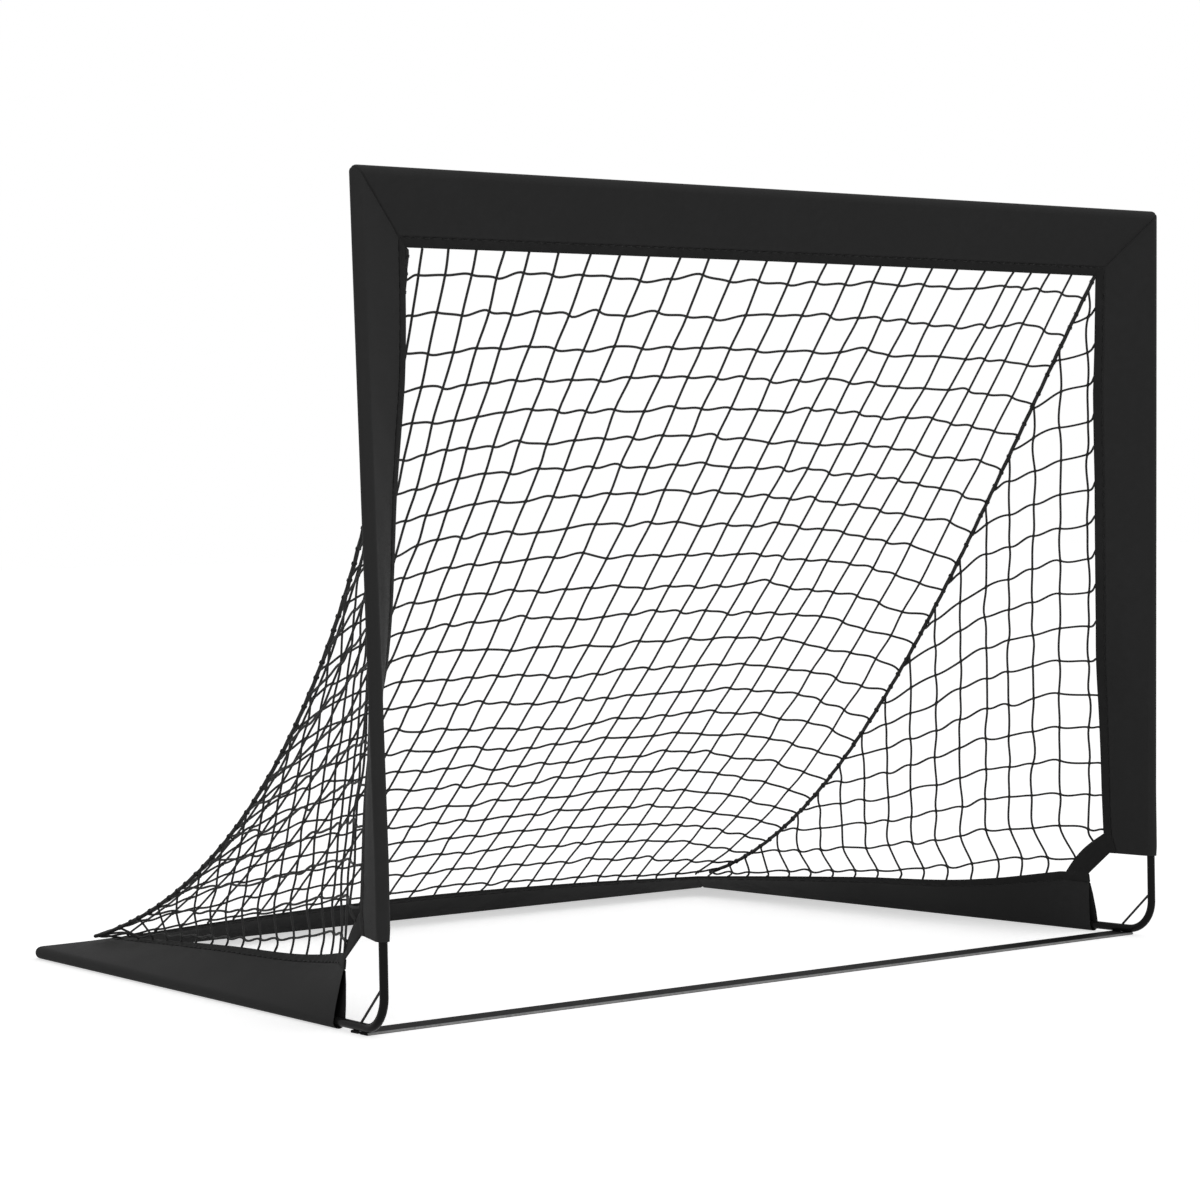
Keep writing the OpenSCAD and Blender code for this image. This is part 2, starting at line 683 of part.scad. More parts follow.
module side_net(side) {
    ROWS = [for (i = [0:col_count]) rows_in(i)];
    function low(i, j) = j < 0 ? (i == 0 ? row_start(0)[0] : col_foot(i)[0]) : knot(i, j);
    // Full meshes, the first of them a triangle at the gusset
    full = [for (i = [0:col_count - 1]) for (j = [0:1:ROWS[i + 1] - 1])
        i == 0 && j == 0
            ? [row_start(0)[0], col_foot(1)[0], knot(1, 0)]
            : [low(i, j - 1), low(i + 1, j - 1), knot(i + 1, j), knot(i, j)]];
    // Part meshes cut off by the rope
    cut = [for (i = [0:col_count - 1])
        let (n = ROWS[i + 1], m = ROWS[i])
        each concat(
            [concat([low(i, n - 1), low(i + 1, n - 1), col_top(i + 1)[0]],
                m > n ? [row_end(n)[0], knot(i, n)] : [col_top(i)[0]])],
            [for (j = [n + 1:1:m - 1]) [knot(i, j - 1), row_end(j - 1)[0], row_end(j)[0], knot(i, j)]],
            m > n ? [[knot(i, m - 1), row_end(m - 1)[0], col_top(i)[0]]] : []
        )];
    border = concat(
        [row_start(0)],
        [for (i = [1:col_count]) col_foot(i)],
        [for (i = [col_count:-1:1])
            each concat([col_top(i)], [for (j = [ROWS[i]:1:ROWS[i - 1] - 1]) row_end(j)])],
        [col_top(0)],
        [for (j = [ROWS[0] - 1:-1:1]) row_start(j)]
    );
    on_side(side) lattice(concat(full, cut), border, [twine_r, 0, 0]);
}

elbow_piece(-1);  // elbow_left
elbow_piece(1);  // elbow_right
elbow_cord_piece(-1);  // elbow_cord_left
elbow_cord_piece(1);  // elbow_cord_right
ground_bar();
bar_screws();
on_side(-1) upright_pole_lower();  // upright_pole_left_lower
on_side(-1) upright_pole_upper();  // upright_pole_left_upper
on_side(-1) ferrule(upright_mid, upright_way);  // upright_ferrule_left
upright_pole_lower();  // upright_pole_right_lower
upright_pole_upper();  // upright_pole_right_upper
ferrule(upright_mid, upright_way);  // upright_ferrule_right
on_side(-1) top_corner();  // top_corner_left
top_corner();  // top_corner_right
on_side(-1) crossbar_pole();  // crossbar_pole_left
crossbar_pole();  // crossbar_pole_right
ferrule([0, top.y, top.z], [1, 0, 0]);  // crossbar_ferrule
on_side(-1) side_pole_front();  // side_pole_left_front
on_side(-1) side_pole_rear();  // side_pole_left_rear
on_side(-1) ferrule(side_mid, side_way);  // side_ferrule_left
side_pole_front();  // side_pole_right_front
side_pole_rear();  // side_pole_right_rear
ferrule(side_mid, side_way);  // side_ferrule_right
on_side(-1) rear_corner();  // rear_corner_left
rear_corner();  // rear_corner_right
on_side(-1) rear_pole();  // rear_pole_left
rear_pole();  // rear_pole_right
ferrule([0, rear.y, rear.z], [1, 0, 0]);  // rear_ferrule
mouth_cord();
ground_cord();
sleeve(CROSSBAR);  // crossbar_sleeve
on_side(-1) sleeve(UPRIGHT);  // upright_sleeve_left
sleeve(UPRIGHT);  // upright_sleeve_right
on_side(-1) sleeve(SIDE);  // side_sleeve_left
sleeve(SIDE);  // side_sleeve_right
sleeve(REAR);  // rear_sleeve
gusset(-1);  // gusset_left
gusset(1);  // gusset_right
rear_net();
side_net(-1);  // side_net_left
side_net(1);  // side_net_right
corner_rope(-1);  // corner_rope_left
corner_rope(1);  // corner_rope_right
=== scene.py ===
"""Looks of a knock-down goal: cloth covers, a knotted net, ropes, painted tube and flat bar.

Laid out as an add-on and run as a script. Metres; +X along the mouth, +Y to the rear, +Z up.
"""

import math

import bpy
import numpy as np
from mathutils import Matrix, Vector


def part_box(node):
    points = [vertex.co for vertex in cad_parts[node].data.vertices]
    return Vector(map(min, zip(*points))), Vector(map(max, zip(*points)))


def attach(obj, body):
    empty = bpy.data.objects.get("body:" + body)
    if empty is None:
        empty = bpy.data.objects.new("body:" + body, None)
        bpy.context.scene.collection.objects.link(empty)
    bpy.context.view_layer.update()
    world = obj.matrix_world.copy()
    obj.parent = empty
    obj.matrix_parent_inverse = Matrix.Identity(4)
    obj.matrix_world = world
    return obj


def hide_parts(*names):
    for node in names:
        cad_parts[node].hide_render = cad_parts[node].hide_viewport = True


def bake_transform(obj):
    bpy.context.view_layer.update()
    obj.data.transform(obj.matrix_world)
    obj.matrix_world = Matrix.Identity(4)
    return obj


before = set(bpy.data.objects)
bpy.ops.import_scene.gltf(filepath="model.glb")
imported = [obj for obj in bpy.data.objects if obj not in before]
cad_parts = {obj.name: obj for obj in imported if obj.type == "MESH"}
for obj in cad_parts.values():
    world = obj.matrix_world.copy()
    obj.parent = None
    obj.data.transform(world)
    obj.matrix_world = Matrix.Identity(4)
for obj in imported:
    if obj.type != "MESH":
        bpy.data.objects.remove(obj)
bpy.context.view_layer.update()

bl_info = {
    "name": "Goal dresser",
    "version": (1, 0, 0),
    "blender": (4, 5, 0),
    "location": "3D View > Sidebar > Goal",
    "description": "Covers, nets, ropes and finishes of a knock-down goal",
    "category": "Object",
}


# ---- Where the frame's centre lines run, read from the CAD solids ----
BEAD_R = 0.0056  # stop bead of an elbow
BALL_R = 0.0065  # ball inside a corner piece
KINK_UP = 0.182  # height at which an upright starts to slant, above the ground poles

elbow_low, elbow_high = (np.array(c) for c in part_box("elbow_right"))
top_high = np.array(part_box("top_corner_right")[1])
rear_high = np.array(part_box("rear_corner_right")[1])
FOOT = np.array([elbow_high[0] - BEAD_R, elbow_low[1] + BEAD_R, elbow_low[2] + BEAD_R])
TOP = np.array([top_high[0] - BALL_R, FOOT[1], top_high[2] - BALL_R])
REAR = np.array([rear_high[0] - BALL_R, rear_high[1] - BALL_R, FOOT[2]])
KINK = FOOT + [0, 0, KINK_UP]


def mirrored(p):
    return np.asarray(p) * [-1, 1, 1]


def unit(v):
    v = np.asarray(v, float)
    return v / np.maximum(np.linalg.norm(v, axis=-1, keepdims=True), 1e-12)


def cubic(a, b, slope_a, slope_b, u):
    """The smooth run from a to b with a slope at each end, at shares u of the way."""
    return (
        (2 * u**3 - 3 * u**2 + 1) * a + (u**3 - 2 * u**2 + u) * slope_a
        + (3 * u**2 - 2 * u**3) * b + (u**3 - u**2) * slope_b
    )


def smooth_curve(knots, t):
    """A smooth curve through (place, value) knots, level at its turning points."""
    x, y = np.array(knots, float).T
    run = np.diff(y) / np.diff(x)
    slope = np.concatenate([[run[0]], (run[1:] + run[:-1]) / 2, [run[-1]]])
    slope[1:-1][run[1:] * run[:-1] <= 0] = 0
    k = np.clip(np.searchsorted(x, t, side="right") - 1, 0, len(x) - 2)
    h = x[k + 1] - x[k]
    return cubic(y[k], y[k + 1], h * slope[k], h * slope[k + 1], (np.asarray(t) - x[k]) / h)


def fade(x, run):
    """Rises from 0 to 1 over a run and stays there."""
    return np.clip(x / run, 0, 1)


def hump(x, run):
    """1 at nothing, dying away over a run to both sides."""
    return np.exp(-((x / run) ** 2))


# ---- Sleeves: a band of folded cloth round a pole ----
SLEEVE_W = 0.080  # pole centre line to hem edge
SLEEVE_R = 0.008  # outside of the cloth round a pole
CUFF_R = 0.0072  # outside of the cloth at an open end on an upright
CUFF_RUN = 0.012  # over which a cuff draws in
HEM_W = 0.011
HEM_HALF = 0.0015  # half the hem's thickness
CLOTH = 0.0006


class Sleeve:
    """A band's path, its two ends with their mitre planes, and how it turns and narrows.

    The band lies along e0 at a turn of 0 degrees and along e90 at 90. Turns and pulls are knots of
    (place, value), and a pull is how much narrower the band is there.
    """

    def __init__(self, path, start, end, mitres, e0, e90, turns, pull, corners):
        self.path = [np.asarray(p, float) for p in path]
        self.start, self.end, self.mitres = start, end, mitres
        self.e0, self.e90 = np.asarray(e0, float), np.asarray(e90, float)
        self.turns, self.pull, self.corners = turns, pull, corners
        legs = [np.linalg.norm(b - a) for a, b in zip(self.path, self.path[1:])]
        self.reach = np.concatenate([[0], np.cumsum(legs)])
        self.ways = [unit(b - a) for a, b in zip(self.path, self.path[1:])]

    def width(self, t):
        return SLEEVE_W - np.interp(t, *np.array(self.pull).T)

    def band(self, t):
        a = np.radians(smooth_curve(self.turns, t))[..., None]
        return np.cos(a) * self.e0 + np.sin(a) * self.e90

    def face(self, t):
        a = np.radians(smooth_curve(self.turns, t))[..., None]
        return np.cos(a) * self.e90 - np.sin(a) * self.e0

    def off(self, t, share, dist, high):
        w = share * self.width(t) + dist
        return w[..., None] * self.band(t) + high[..., None] * self.face(t)

    def along(self, s):
        s = np.asarray(s, float)
        out = np.zeros(s.shape + (3,))
        for i, way in enumerate(self.ways):
            here = (s >= self.reach[i]) if i else np.ones(s.shape, bool)
            out[here] = self.path[i] + way * (s[here] - self.reach[i])[..., None]
        return out

    def point(self, t, share, dist, high):
        """Points at t along, at a share of the width plus a distance, and high off the band."""
        t, share, dist, high = np.broadcast_arrays(
            *(np.asarray(a, float) for a in (t, share, dist, high))
        )
        ends = []
        for k, (at, run) in enumerate(((0.0, self.start), (1.0, self.end))):
            plane = self.mitres[k]
            if plane is None:
                ends.append(np.full(t.shape, run))
                continue
            off = self.off(np.full(t.shape, at), share, dist, high)
            ends.append(run - (off @ plane) / (self.ways[-k] @ plane))
        s = ends[0] + (ends[1] - ends[0]) * t
        p = self.along(s) + self.off(t, share, dist, high)
        for at, way_a, way_b in self.corners:
            p = rounded_corner(p, at, way_a, way_b)
        return p

    def hem(self, t, past=0.0):
        return self.point(t, 1.0, past, 0.0)

    @property
    def length(self):
        return self.end - self.start


def rounded_corner(p, at, way_a, way_b):
    """Pulls the sharp outside of two mitred tubes in to a round corner."""
    d = p - at
    a, b = d @ way_a, d @ way_b
    out = (a > 0) & (b > 0)
    scale = np.where(out, np.maximum(a, b) / np.maximum(np.hypot(a, b), 1e-9), 1.0) - 1
    return p + (a * scale)[..., None] * way_a + (b * scale)[..., None] * way_b


SIDE_WAY = unit(REAR - FOOT)
INWARD = np.array([-SIDE_WAY[1], SIDE_WAY[0], 0.0])
UPRIGHT_RUN = np.linalg.norm(TOP - KINK) + KINK_UP
SIDE_RUN = np.linalg.norm(REAR - FOOT)
TOP_MITRE = unit(np.array([-1.0, 0, 0]) - unit(KINK - TOP))
REAR_MITRE = unit(np.array([-1.0, 0, 0]) - unit(FOOT - REAR))
TOP_RIGHT = (TOP, np.array([1.0, 0, 0]), np.array([0, 0, 1.0]))
TOP_LEFT = (mirrored(TOP), np.array([-1.0, 0, 0]), np.array([0, 0, 1.0]))
REAR_RIGHT = (REAR, np.array([1.0, 0, 0]), np.array([0, 1.0, 0]))
REAR_LEFT = (mirrored(REAR), np.array([-1.0, 0, 0]), np.array([0, 1.0, 0]))
UPRIGHT_CUFF = 0.098  # height of an upright cover's foot above the ground poles
SIDE_CUFF = 0.098  # distance of a side cover's mouth behind the elbow's corner

UPRIGHT = Sleeve(
    [TOP, KINK, FOOT], 0.0, UPRIGHT_RUN - UPRIGHT_CUFF, (TOP_MITRE, None),
    (-1, 0, 0), (0, 1, 0),
    [(0, 18), (0.15, 21), (0.35, 31.2), (0.6, 44.4), (0.75, 65.4), (1, 78)],
    [(0, 0), (0.2, 0), (0.35, 0.006), (0.6, 0.010), (0.965, 0.010), (1, 0.018)], [TOP_RIGHT],
)
CROSSBAR = Sleeve(
    [mirrored(TOP), TOP], 0.0, 2 * TOP[0], (mirrored(TOP_MITRE), TOP_MITRE),
    (0, 0, -1), (0, 1, 0),
    [(0, 18), (0.25, 20.8), (0.5, 22), (0.75, 20.8), (1, 18)], [(0, 0), (1, 0)],
    [TOP_RIGHT, TOP_LEFT],
)
SIDE = Sleeve(
    [FOOT, REAR], SIDE_CUFF, SIDE_RUN, (None, REAR_MITRE),
    (0, 0, 1), INWARD,
    [(0, 8), (0.08, 27), (0.2, 44), (0.55, 58.3), (1, 76)],
    [(0, 0.011), (0.05, 0.005), (0.2, 0.003), (0.55, 0.003), (1, 0)], [REAR_RIGHT],
)
BACK = Sleeve(
    [mirrored(REAR), REAR], 0.0, 2 * REAR[0], (mirrored(REAR_MITRE), REAR_MITRE),
    (0, 0, 1), (0, -1, 0),
    [(0, 76), (0.25, 69), (0.5, 66), (0.75, 69), (1, 76)],
    [(0, 0), (0.25, 0.0021), (0.5, 0.003), (0.75, 0.0021), (1, 0)], [REAR_RIGHT, REAR_LEFT],
)


# ---- Corner rope: a curve from the crossbar's corner (A) to the rear corner (D) ----
ROPE_R = 0.0025
SEAM_GAP = 0.0004
ROPE_A = UPRIGHT.hem(0.0) + [-ROPE_R - SEAM_GAP, SEAM_GAP, -ROPE_R - SEAM_GAP]
ROPE_D = REAR + [-0.037, -0.037, 0.0092 + SLEEVE_R / 2 + ROPE_R + 2 * SEAM_GAP]
ROPE_B = ROPE_A + (ROPE_D - ROPE_A) / 3 + [-0.070, -0.100, -0.060]
ROPE_C = ROPE_A + (ROPE_D - ROPE_A) * 2 / 3 + [-0.058, -0.128, -0.198]


def rope_at(t):
    t = np.asarray(t, float)[..., None]
    u = 1 - t
    return u**3 * ROPE_A + 3 * u * u * t * ROPE_B + 3 * u * t * t * ROPE_C + t**3 * ROPE_D


ROPE_T = np.linspace(0, 1, 2001)
ROPE_LINE = rope_at(ROPE_T)


def rope_share(axis, value):
    """How far down the rope its coordinate on an axis has a value."""
    line = ROPE_LINE[:, axis]
    order = slice(None) if line[-1] > line[0] else slice(None, None, -1)
    return np.interp(value, line[order], ROPE_T[order])


# ---- Mesh building ----
STRAND_DEPTH = 0.11  # how far the strands of a rope stand out, in radii


class Shell:
    """Collects grids of points into one mesh, with a UV in metres for each face corner."""

    def __init__(self):
        self.points, self.quads, self.uvs, self.fans, self.count = [], [], [], [], 0

    def grid(self, p, u, v, wrap=False, flip=False):
        n, m = p.shape[:2]
        index = self.count + np.arange(n * m).reshape(n, m)
        v = np.asarray(v, float)
        if wrap:
            index = np.concatenate([index, index[:, :1]], 1)
            v = v if len(v) == m + 1 else np.append(v, 2 * v[-1] - v[-2])
        u2, v2 = np.meshgrid(np.asarray(u, float), v, indexing="ij")
        uv = np.stack([u2, v2], -1)
        corners = [(0, 0), (0, 1), (1, 1), (1, 0)]
        if flip:
            corners.reverse()

        def pick(a, du, dv):
            return a[du : a.shape[0] - 1 + du, dv : a.shape[1] - 1 + dv]

        self.quads.append(np.stack([pick(index, *c) for c in corners], -1).reshape(-1, 4))
        self.uvs.append(np.stack([pick(uv, *c) for c in corners], -2).reshape(-1, 2))
        self.points.append(p.reshape(-1, 3))
        self.count += n * m
        return index

    def fan(self, ring):
        self.fans.append([int(i) for i in ring])

    def tube(self, line, radius, sides=6, ref=(0, 0, 1), turns=0.0, lobes=0):
        """A closed tube along a line of points; lobes and turns lay it from strands."""
        line = np.asarray(line, float)
        way = unit(np.gradient(line, axis=0))
        a = unit(np.cross(way, np.asarray(ref, float)))
        b = np.cross(way, a)
        run = np.concatenate([[0], np.cumsum(np.linalg.norm(np.diff(line, axis=0), axis=1))])
        ang = 2 * np.pi * np.arange(sides) / sides
        r = np.broadcast_to(np.asarray(radius, float), (len(line),))[:, None]
        if lobes:
            lay = lobes * ang[None] - turns * 2 * np.pi * run[:, None]
            r = r * (1 + STRAND_DEPTH * np.cos(lay))
        p = (
            line[:, None]
            + (r * np.cos(ang))[..., None] * a[:, None]
            + (r * np.sin(ang))[..., None] * b[:, None]
        )
        index = self.grid(p, run, np.arange(sides + 1) / sides, wrap=True, flip=True)
        self.fan(index[0, :sides])
        self.fan(index[-1, :sides][::-1])

    def ball(self, at, radii, sides=6, rings=4):
        """A small closed blob, for a knot."""
        lat = np.pi * (np.arange(rings + 1) + 0.35) / (rings + 0.7)
        ang = 2 * np.pi * np.arange(sides) / sides
        wide, tall = np.sin(lat)[:, None], np.cos(lat)[:, None]
        p = np.stack([wide * np.cos(ang), wide * np.sin(ang), tall * np.ones(sides)], -1)
        p = p * np.asarray(radii) + np.asarray(at)
        index = self.grid(p, lat * radii[0], np.arange(sides + 1) / sides, wrap=True)
        self.fan(index[0, :sides][::-1])
        self.fan(index[-1, :sides])

    def build(self, name, material, side=1):
        """The mesh as an object, mirrored when it is the left one of a pair."""
        points = np.concatenate(self.points)
        quads = np.concatenate(self.quads)
        uvs = np.concatenate(self.uvs).reshape(-1, 4, 2)
        fans = self.fans
        if side < 0:
            points = mirrored(points)
            quads, uvs = quads[:, ::-1], uvs[:, ::-1]
            fans = [f[::-1] for f in fans]
        mesh = bpy.data.meshes.new(name)
        mesh.from_pydata(points.tolist(), [], quads.tolist() + fans)
        layer = mesh.uv_layers.new(name="cloth")
        flat = np.zeros((len(mesh.loops), 2), np.float32)
        flat[: uvs.size // 2] = uvs.reshape(-1, 2)
        layer.data.foreach_set("uv", flat.ravel())
        mesh.polygons.foreach_set("use_smooth", [True] * len(mesh.polygons))
        mesh.materials.append(material)
        mesh.validate()
        mesh.update()
        piece = bpy.data.objects.new(name, mesh)
        bpy.context.scene.collection.objects.link(piece)
        return piece


def side_name(side):
    return "left" if side < 0 else "right"


def hang(piece):
    """Bakes the piece's placement into its mesh."""
    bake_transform(piece)


# ---- Cloth covers ----
CORNER_STEP = 0.0007  # between the first rings at a sleeve's end
CORNER_RUN = 0.035  # where the rings reach their even spacing
COVER_STEP, HEM_STEP = 0.009, 0.0035  # between rings along a cover and along its hem
SEAM_HALF = 0.0012  # cloth closer together than this is held by the seam
PUCKER_PITCH, PUCKER = 0.013, 0.00025  # beside the seam
PUCKER_IN = 0.004  # from the seam to the middle of its puckers
PUFF_AT, PUFF_RUN, PUFF_WIDE = 0.66, 0.22, 0.068  # where the two layers stand off each other
GAPE_RUN = 0.05  # over which an open end closes
FLAT_EDGE = 0.02  # over which waves die away at the pole and at the seam
MITRE_RUN, MITRE_TURN = 0.05, 0.0015  # end of the waves, and of the turned-in edge
WAVES, WAVE_LENGTHS, WAVE_TILT = 7, (0.05, 0.21), 0.8  # the slack waves that are summed
LINING_UV = 0.4  # where the lining's cloth coordinates start
BINDING_PITCH, BINDING_DRIFT = 0.0225, 0.004  # waves in the binding's inner edge
BINDING_IN, BINDING_UP = 0.0006, 0.35  # how far the waves reach in, and their share in height
STITCH_R = 0.0008
LAP = 0.0004  # how far sewn cloth reaches past the seam it covers


def ring_places(sleeve, step):
    """Places along a sleeve, close together near its ends."""
    length = sleeve.length
    close = CORNER_STEP * np.arange(10)
    near = np.concatenate([close, np.geomspace(10 * CORNER_STEP, CORNER_RUN, 8)])
    count = max(3, int((length - 2 * CORNER_RUN) / step))
    mid = np.linspace(CORNER_RUN, length - CORNER_RUN, count)
    return np.unique(np.round(np.concatenate([near, mid, length - near]), 6)) / length


def fold_profile():
    """Half of the folded cloth's section, from the hem up the flat and half round the pole.

    Each point is a share of the sleeve's width, a distance and a height off the band.
    """
    seam = [(1.0, -0.0012, 0.0008), (1.0, -HEM_W, 0.0008), (1.0, -HEM_W - 0.0016, 0.0008),
            (1.0, -HEM_W - 0.0026, 0.0020)]
    slope = math.asin((SLEEVE_R - HEM_HALF) / (SLEEVE_W - HEM_W))
    touch = SLEEVE_R * np.array([math.sin(slope), math.cos(slope)])
    flat = [(1 - k, touch[0] * k - HEM_W * (1 - k), HEM_HALF + (touch[1] - HEM_HALF) * k)
            for k in np.linspace(0.06, 1, 18)]
    around = np.linspace(math.pi / 2 - slope, math.pi, 12)[1:]
    arc = [(0.0, SLEEVE_R * math.cos(a), SLEEVE_R * math.sin(a)) for a in around]
    return np.array(seam + flat + arc)


def crease(s, w, seed):
    """Low slack waves of the cloth, from about -1 to 1."""
    rng = np.random.default_rng(seed)
    out = np.zeros(np.broadcast(s, w).shape)
    for k in range(WAVES):
        length = rng.uniform(*WAVE_LENGTHS)
        tilt = rng.uniform(-WAVE_TILT, WAVE_TILT)
        out += np.sin(2 * np.pi * (s + tilt * w) / length + rng.uniform(0, 6.3)) / (1 + 0.5 * k)
    return out / 3


def uneven(s, length, pitch, depth, seed):
    """Uneven offsets along a seam, one for each group of stitches."""
    knots = np.arange(0, length + 0.03, pitch)
    return np.interp(s, knots, np.random.default_rng(seed).uniform(-depth, depth, len(knots)))


def side_flip(sleeve):
    """Whether a sleeve's grid has to be turned so that its faces look out."""
    way, band, face = sleeve.ways[0], sleeve.band(np.array(0.5)), sleeve.face(np.array(0.5))
    return float(np.dot(np.cross(way, band), face)) > 0


def cover(name, sleeve, material, side, seed, slack, puff=0.0, open_mouth=0.0,
          cuffs=(False, False)):
    """The folded cloth of one sleeve, with both its layers and its fold round the pole."""
    half = fold_profile()
    profile = np.concatenate([half, half[-2::-1] * [1, 1, -1]])
    nominal = np.stack([profile[:, 0] * SLEEVE_W + profile[:, 1], profile[:, 2]], -1)
    arc = np.concatenate([[0], np.cumsum(np.linalg.norm(np.diff(nominal, axis=0), axis=1))])
    tangent = unit(np.gradient(nominal, axis=0))
    out_w, out_high = tangent[:, 1], -tangent[:, 0]
    t = ring_places(sleeve, COVER_STEP)[:, None]
    s = t * sleeve.length
    share, dist, high = profile.T[:, None, :]
    w, seam = nominal[None, :, 0], SLEEVE_W - HEM_W
    loose = np.abs(high) > SEAM_HALF
    # The two layers stand apart half way down an upright and at an open end
    puffed = hump(t - PUFF_AT, PUFF_RUN) * np.sin(np.pi * fade(w, PUFF_WIDE)) ** 1.5
    gape = hump(s, GAPE_RUN) * fade(w, FLAT_EDGE) * fade(seam - w, FLAT_EDGE)
    move = (puff * puffed + open_mouth * gape) * loose
    # Puckers beside the seam
    beside = hump(w - (seam - PUCKER_IN), PUCKER_IN) * (w < seam)
    move = move + beside * uneven(s, sleeve.length, PUCKER_PITCH, PUCKER, seed + 3)
    # Slack waves in the flat of each layer, none at the seam, the pole and the mitred ends
    waves = crease(s, w, seed) * (high > 0) + crease(s, w, seed + 7) * (high < 0)
    waves = waves * slack * fade(w, FLAT_EDGE) * fade(seam - 0.002 - w, FLAT_EDGE)
    for k, end_s in enumerate((s, sleeve.length - s)):
        if sleeve.mitres[k] is not None:
            # A mitred end is turned in to its seam
            waves = waves * fade(end_s, MITRE_RUN)
            move = move - SEAM_HALF * hump(end_s, MITRE_TURN) * loose
        if cuffs[k]:
            # A cuff is gathered in to the elbow
            move = move - (SLEEVE_R - CUFF_R) * (1 - fade(end_s, CUFF_RUN)) * (share < 0.02)
    move = move + waves
    skins = [
        sleeve.point(t, share, dist + out_w * (move - depth), high + out_high * (move - depth))
        for depth in (0.0, CLOTH)
    ]
    shell, turned = Shell(), side_flip(sleeve)
    loop = np.concatenate([skins[0], skins[1][:, ::-1]], 1)
    v = np.concatenate([arc, arc[::-1] + LINING_UV, [0]])
    index = shell.grid(loop, s[:, 0], v, wrap=True, flip=turned)
    m = len(profile)
    for row, order in ((index[0], 1), (index[-1], -1)):
        for j in range(m - 1):
            quad = [row[j], row[j + 1], row[2 * m - 2 - j], row[2 * m - 1 - j]]
            shell.fan(quad[:: order * (-1 if turned else 1)])
    return shell.build(name, material, side), (float(arc[-1]), float(sleeve.length))


def hem_strip(name, sleeve, material, side, seed):
    """The binding sewn over the cover's two edges."""
    # Half its section: a distance from the hem's edge and a height off the band
    half = [(-HEM_W, 0.0014), (-HEM_W + 0.0004, HEM_HALF), (-0.0016, HEM_HALF),
            (-0.0006, 0.0011), (0.0, 0.0004)]
    section = np.array(half + [(across, -high) for across, high in half[::-1]])
    t = ring_places(sleeve, HEM_STEP)[:, None]
    s = t * sleeve.length
    drift = uneven(s, sleeve.length, BINDING_PITCH, BINDING_DRIFT, seed)
    wave = np.clip(np.sin(2 * np.pi * (s + drift) / BINDING_PITCH), -0.2, 1)
    wave = wave * (section[None, :, 0] < -0.008)
    p = sleeve.point(
        t, 1.0, section[None, :, 0] - BINDING_IN * wave,
        section[None, :, 1] * (1 + BINDING_UP * wave),
    )
    shell, turned = Shell(), side_flip(sleeve)
    v = np.concatenate([[0], np.cumsum(np.linalg.norm(np.diff(section, axis=0), axis=1))])
    index = shell.grid(p, s[:, 0], v, wrap=True, flip=not turned)
    order = 1 if turned else -1
    shell.fan(index[0, : len(section)][::order])
    shell.fan(index[-1, : len(section)][::-order])
    return shell.build(name, material, side)


def stitches(name, sleeve, material, side, pitch, seed):
    """Two rows of thread, one on each face of the hem, just inside its inner edge."""
    shell = Shell()
    rng = np.random.default_rng(seed)
    # A stitch in five points: shares of its length, and heights that dip at its ends
    along = np.array([-0.5, -0.32, 0, 0.32, 0.5])
    lift = np.array([-0.0005, 0.0, 0.0002, 0.0, -0.0005]) + HEM_HALF
    for face in (1, -1):
        for s in np.arange(0.012, sleeve.length - 0.008, pitch):
            at = (s + along * rng.uniform(0.5, 0.72) * pitch) / sleeve.length
            across = -HEM_W - LAP + rng.uniform(-0.0003, 0.0003)
            line = sleeve.point(at, 1.0, across, face * lift)
            shell.tube(line, STITCH_R, 5, ref=sleeve.face(np.array(0.5)))
    return shell.build(name, material, side)


def dress(sleeve, kind, side, nodes, body, rests, seed, **options):
    """Make one sleeve's cover, hem and stitches, on one body or with their placement baked into
    their meshes.
    """
    words = f"{kind}_{side_name(side)}" if side else kind
    cloth, hem, thread = (material(n) for n in ("coated cloth", "hem binding", "thread"))
    piece, flat = cover(f"{words}_cover", sleeve, cloth, side or 1, seed, **options)
    strip = hem_strip(f"{words}_hem", sleeve, hem, side or 1, seed + 1)
    seam = stitches(
        f"{words}_stitches", sleeve, thread, side or 1,
        bpy.context.scene.goal_cloth.stitch_pitch, seed + 2,
    )
    for part in (piece, strip, seam):
        if body:
            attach(part, body)
        else:
            hang(part)
    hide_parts(*nodes)


# ---- Materials ----
MATERIALS = {}


def material(name):
    return MATERIALS[name]


def new_group(name, inputs, outputs):
    """An empty shader node group with named sockets: (name, type, default)."""
    group = bpy.data.node_groups.new(name, "ShaderNodeTree")
    for label, kind, default in inputs:
        socket = group.interface.new_socket(label, in_out="INPUT", socket_type=kind)
        if default is not None:
            socket.default_value = default
    for label, kind in outputs:
        group.interface.new_socket(label, in_out="OUTPUT", socket_type=kind)
    nodes = group.nodes
    return group, nodes.new("NodeGroupInput"), nodes.new("NodeGroupOutput")


def put(tree, value, socket):
    """Links a node's output to a socket, or sets the socket to a number."""
    if hasattr(value, "links"):
        tree.links.new(value, socket)
    else:
        socket.default_value = value


def math_node(tree, kind, a, b=None, clamp=False):
    node = tree.nodes.new("ShaderNodeMath")
    node.operation, node.use_clamp = kind, clamp
    for socket, value in zip(node.inputs, (a, b)):
        if value is not None:
            put(tree, value, socket)
    return node.outputs[0]


def noise_node(tree, scale, detail=2.0):
    """Noise from the piece's own coordinates in metres."""
    place = tree.nodes.new("ShaderNodeTexCoord")
    noise = tree.nodes.new("ShaderNodeTexNoise")
    tree.links.new(place.outputs["Object"], noise.inputs["Vector"])
    put(tree, scale, noise.inputs["Scale"])
    noise.inputs["Detail"].default_value = detail
    return noise.outputs["Fac"]


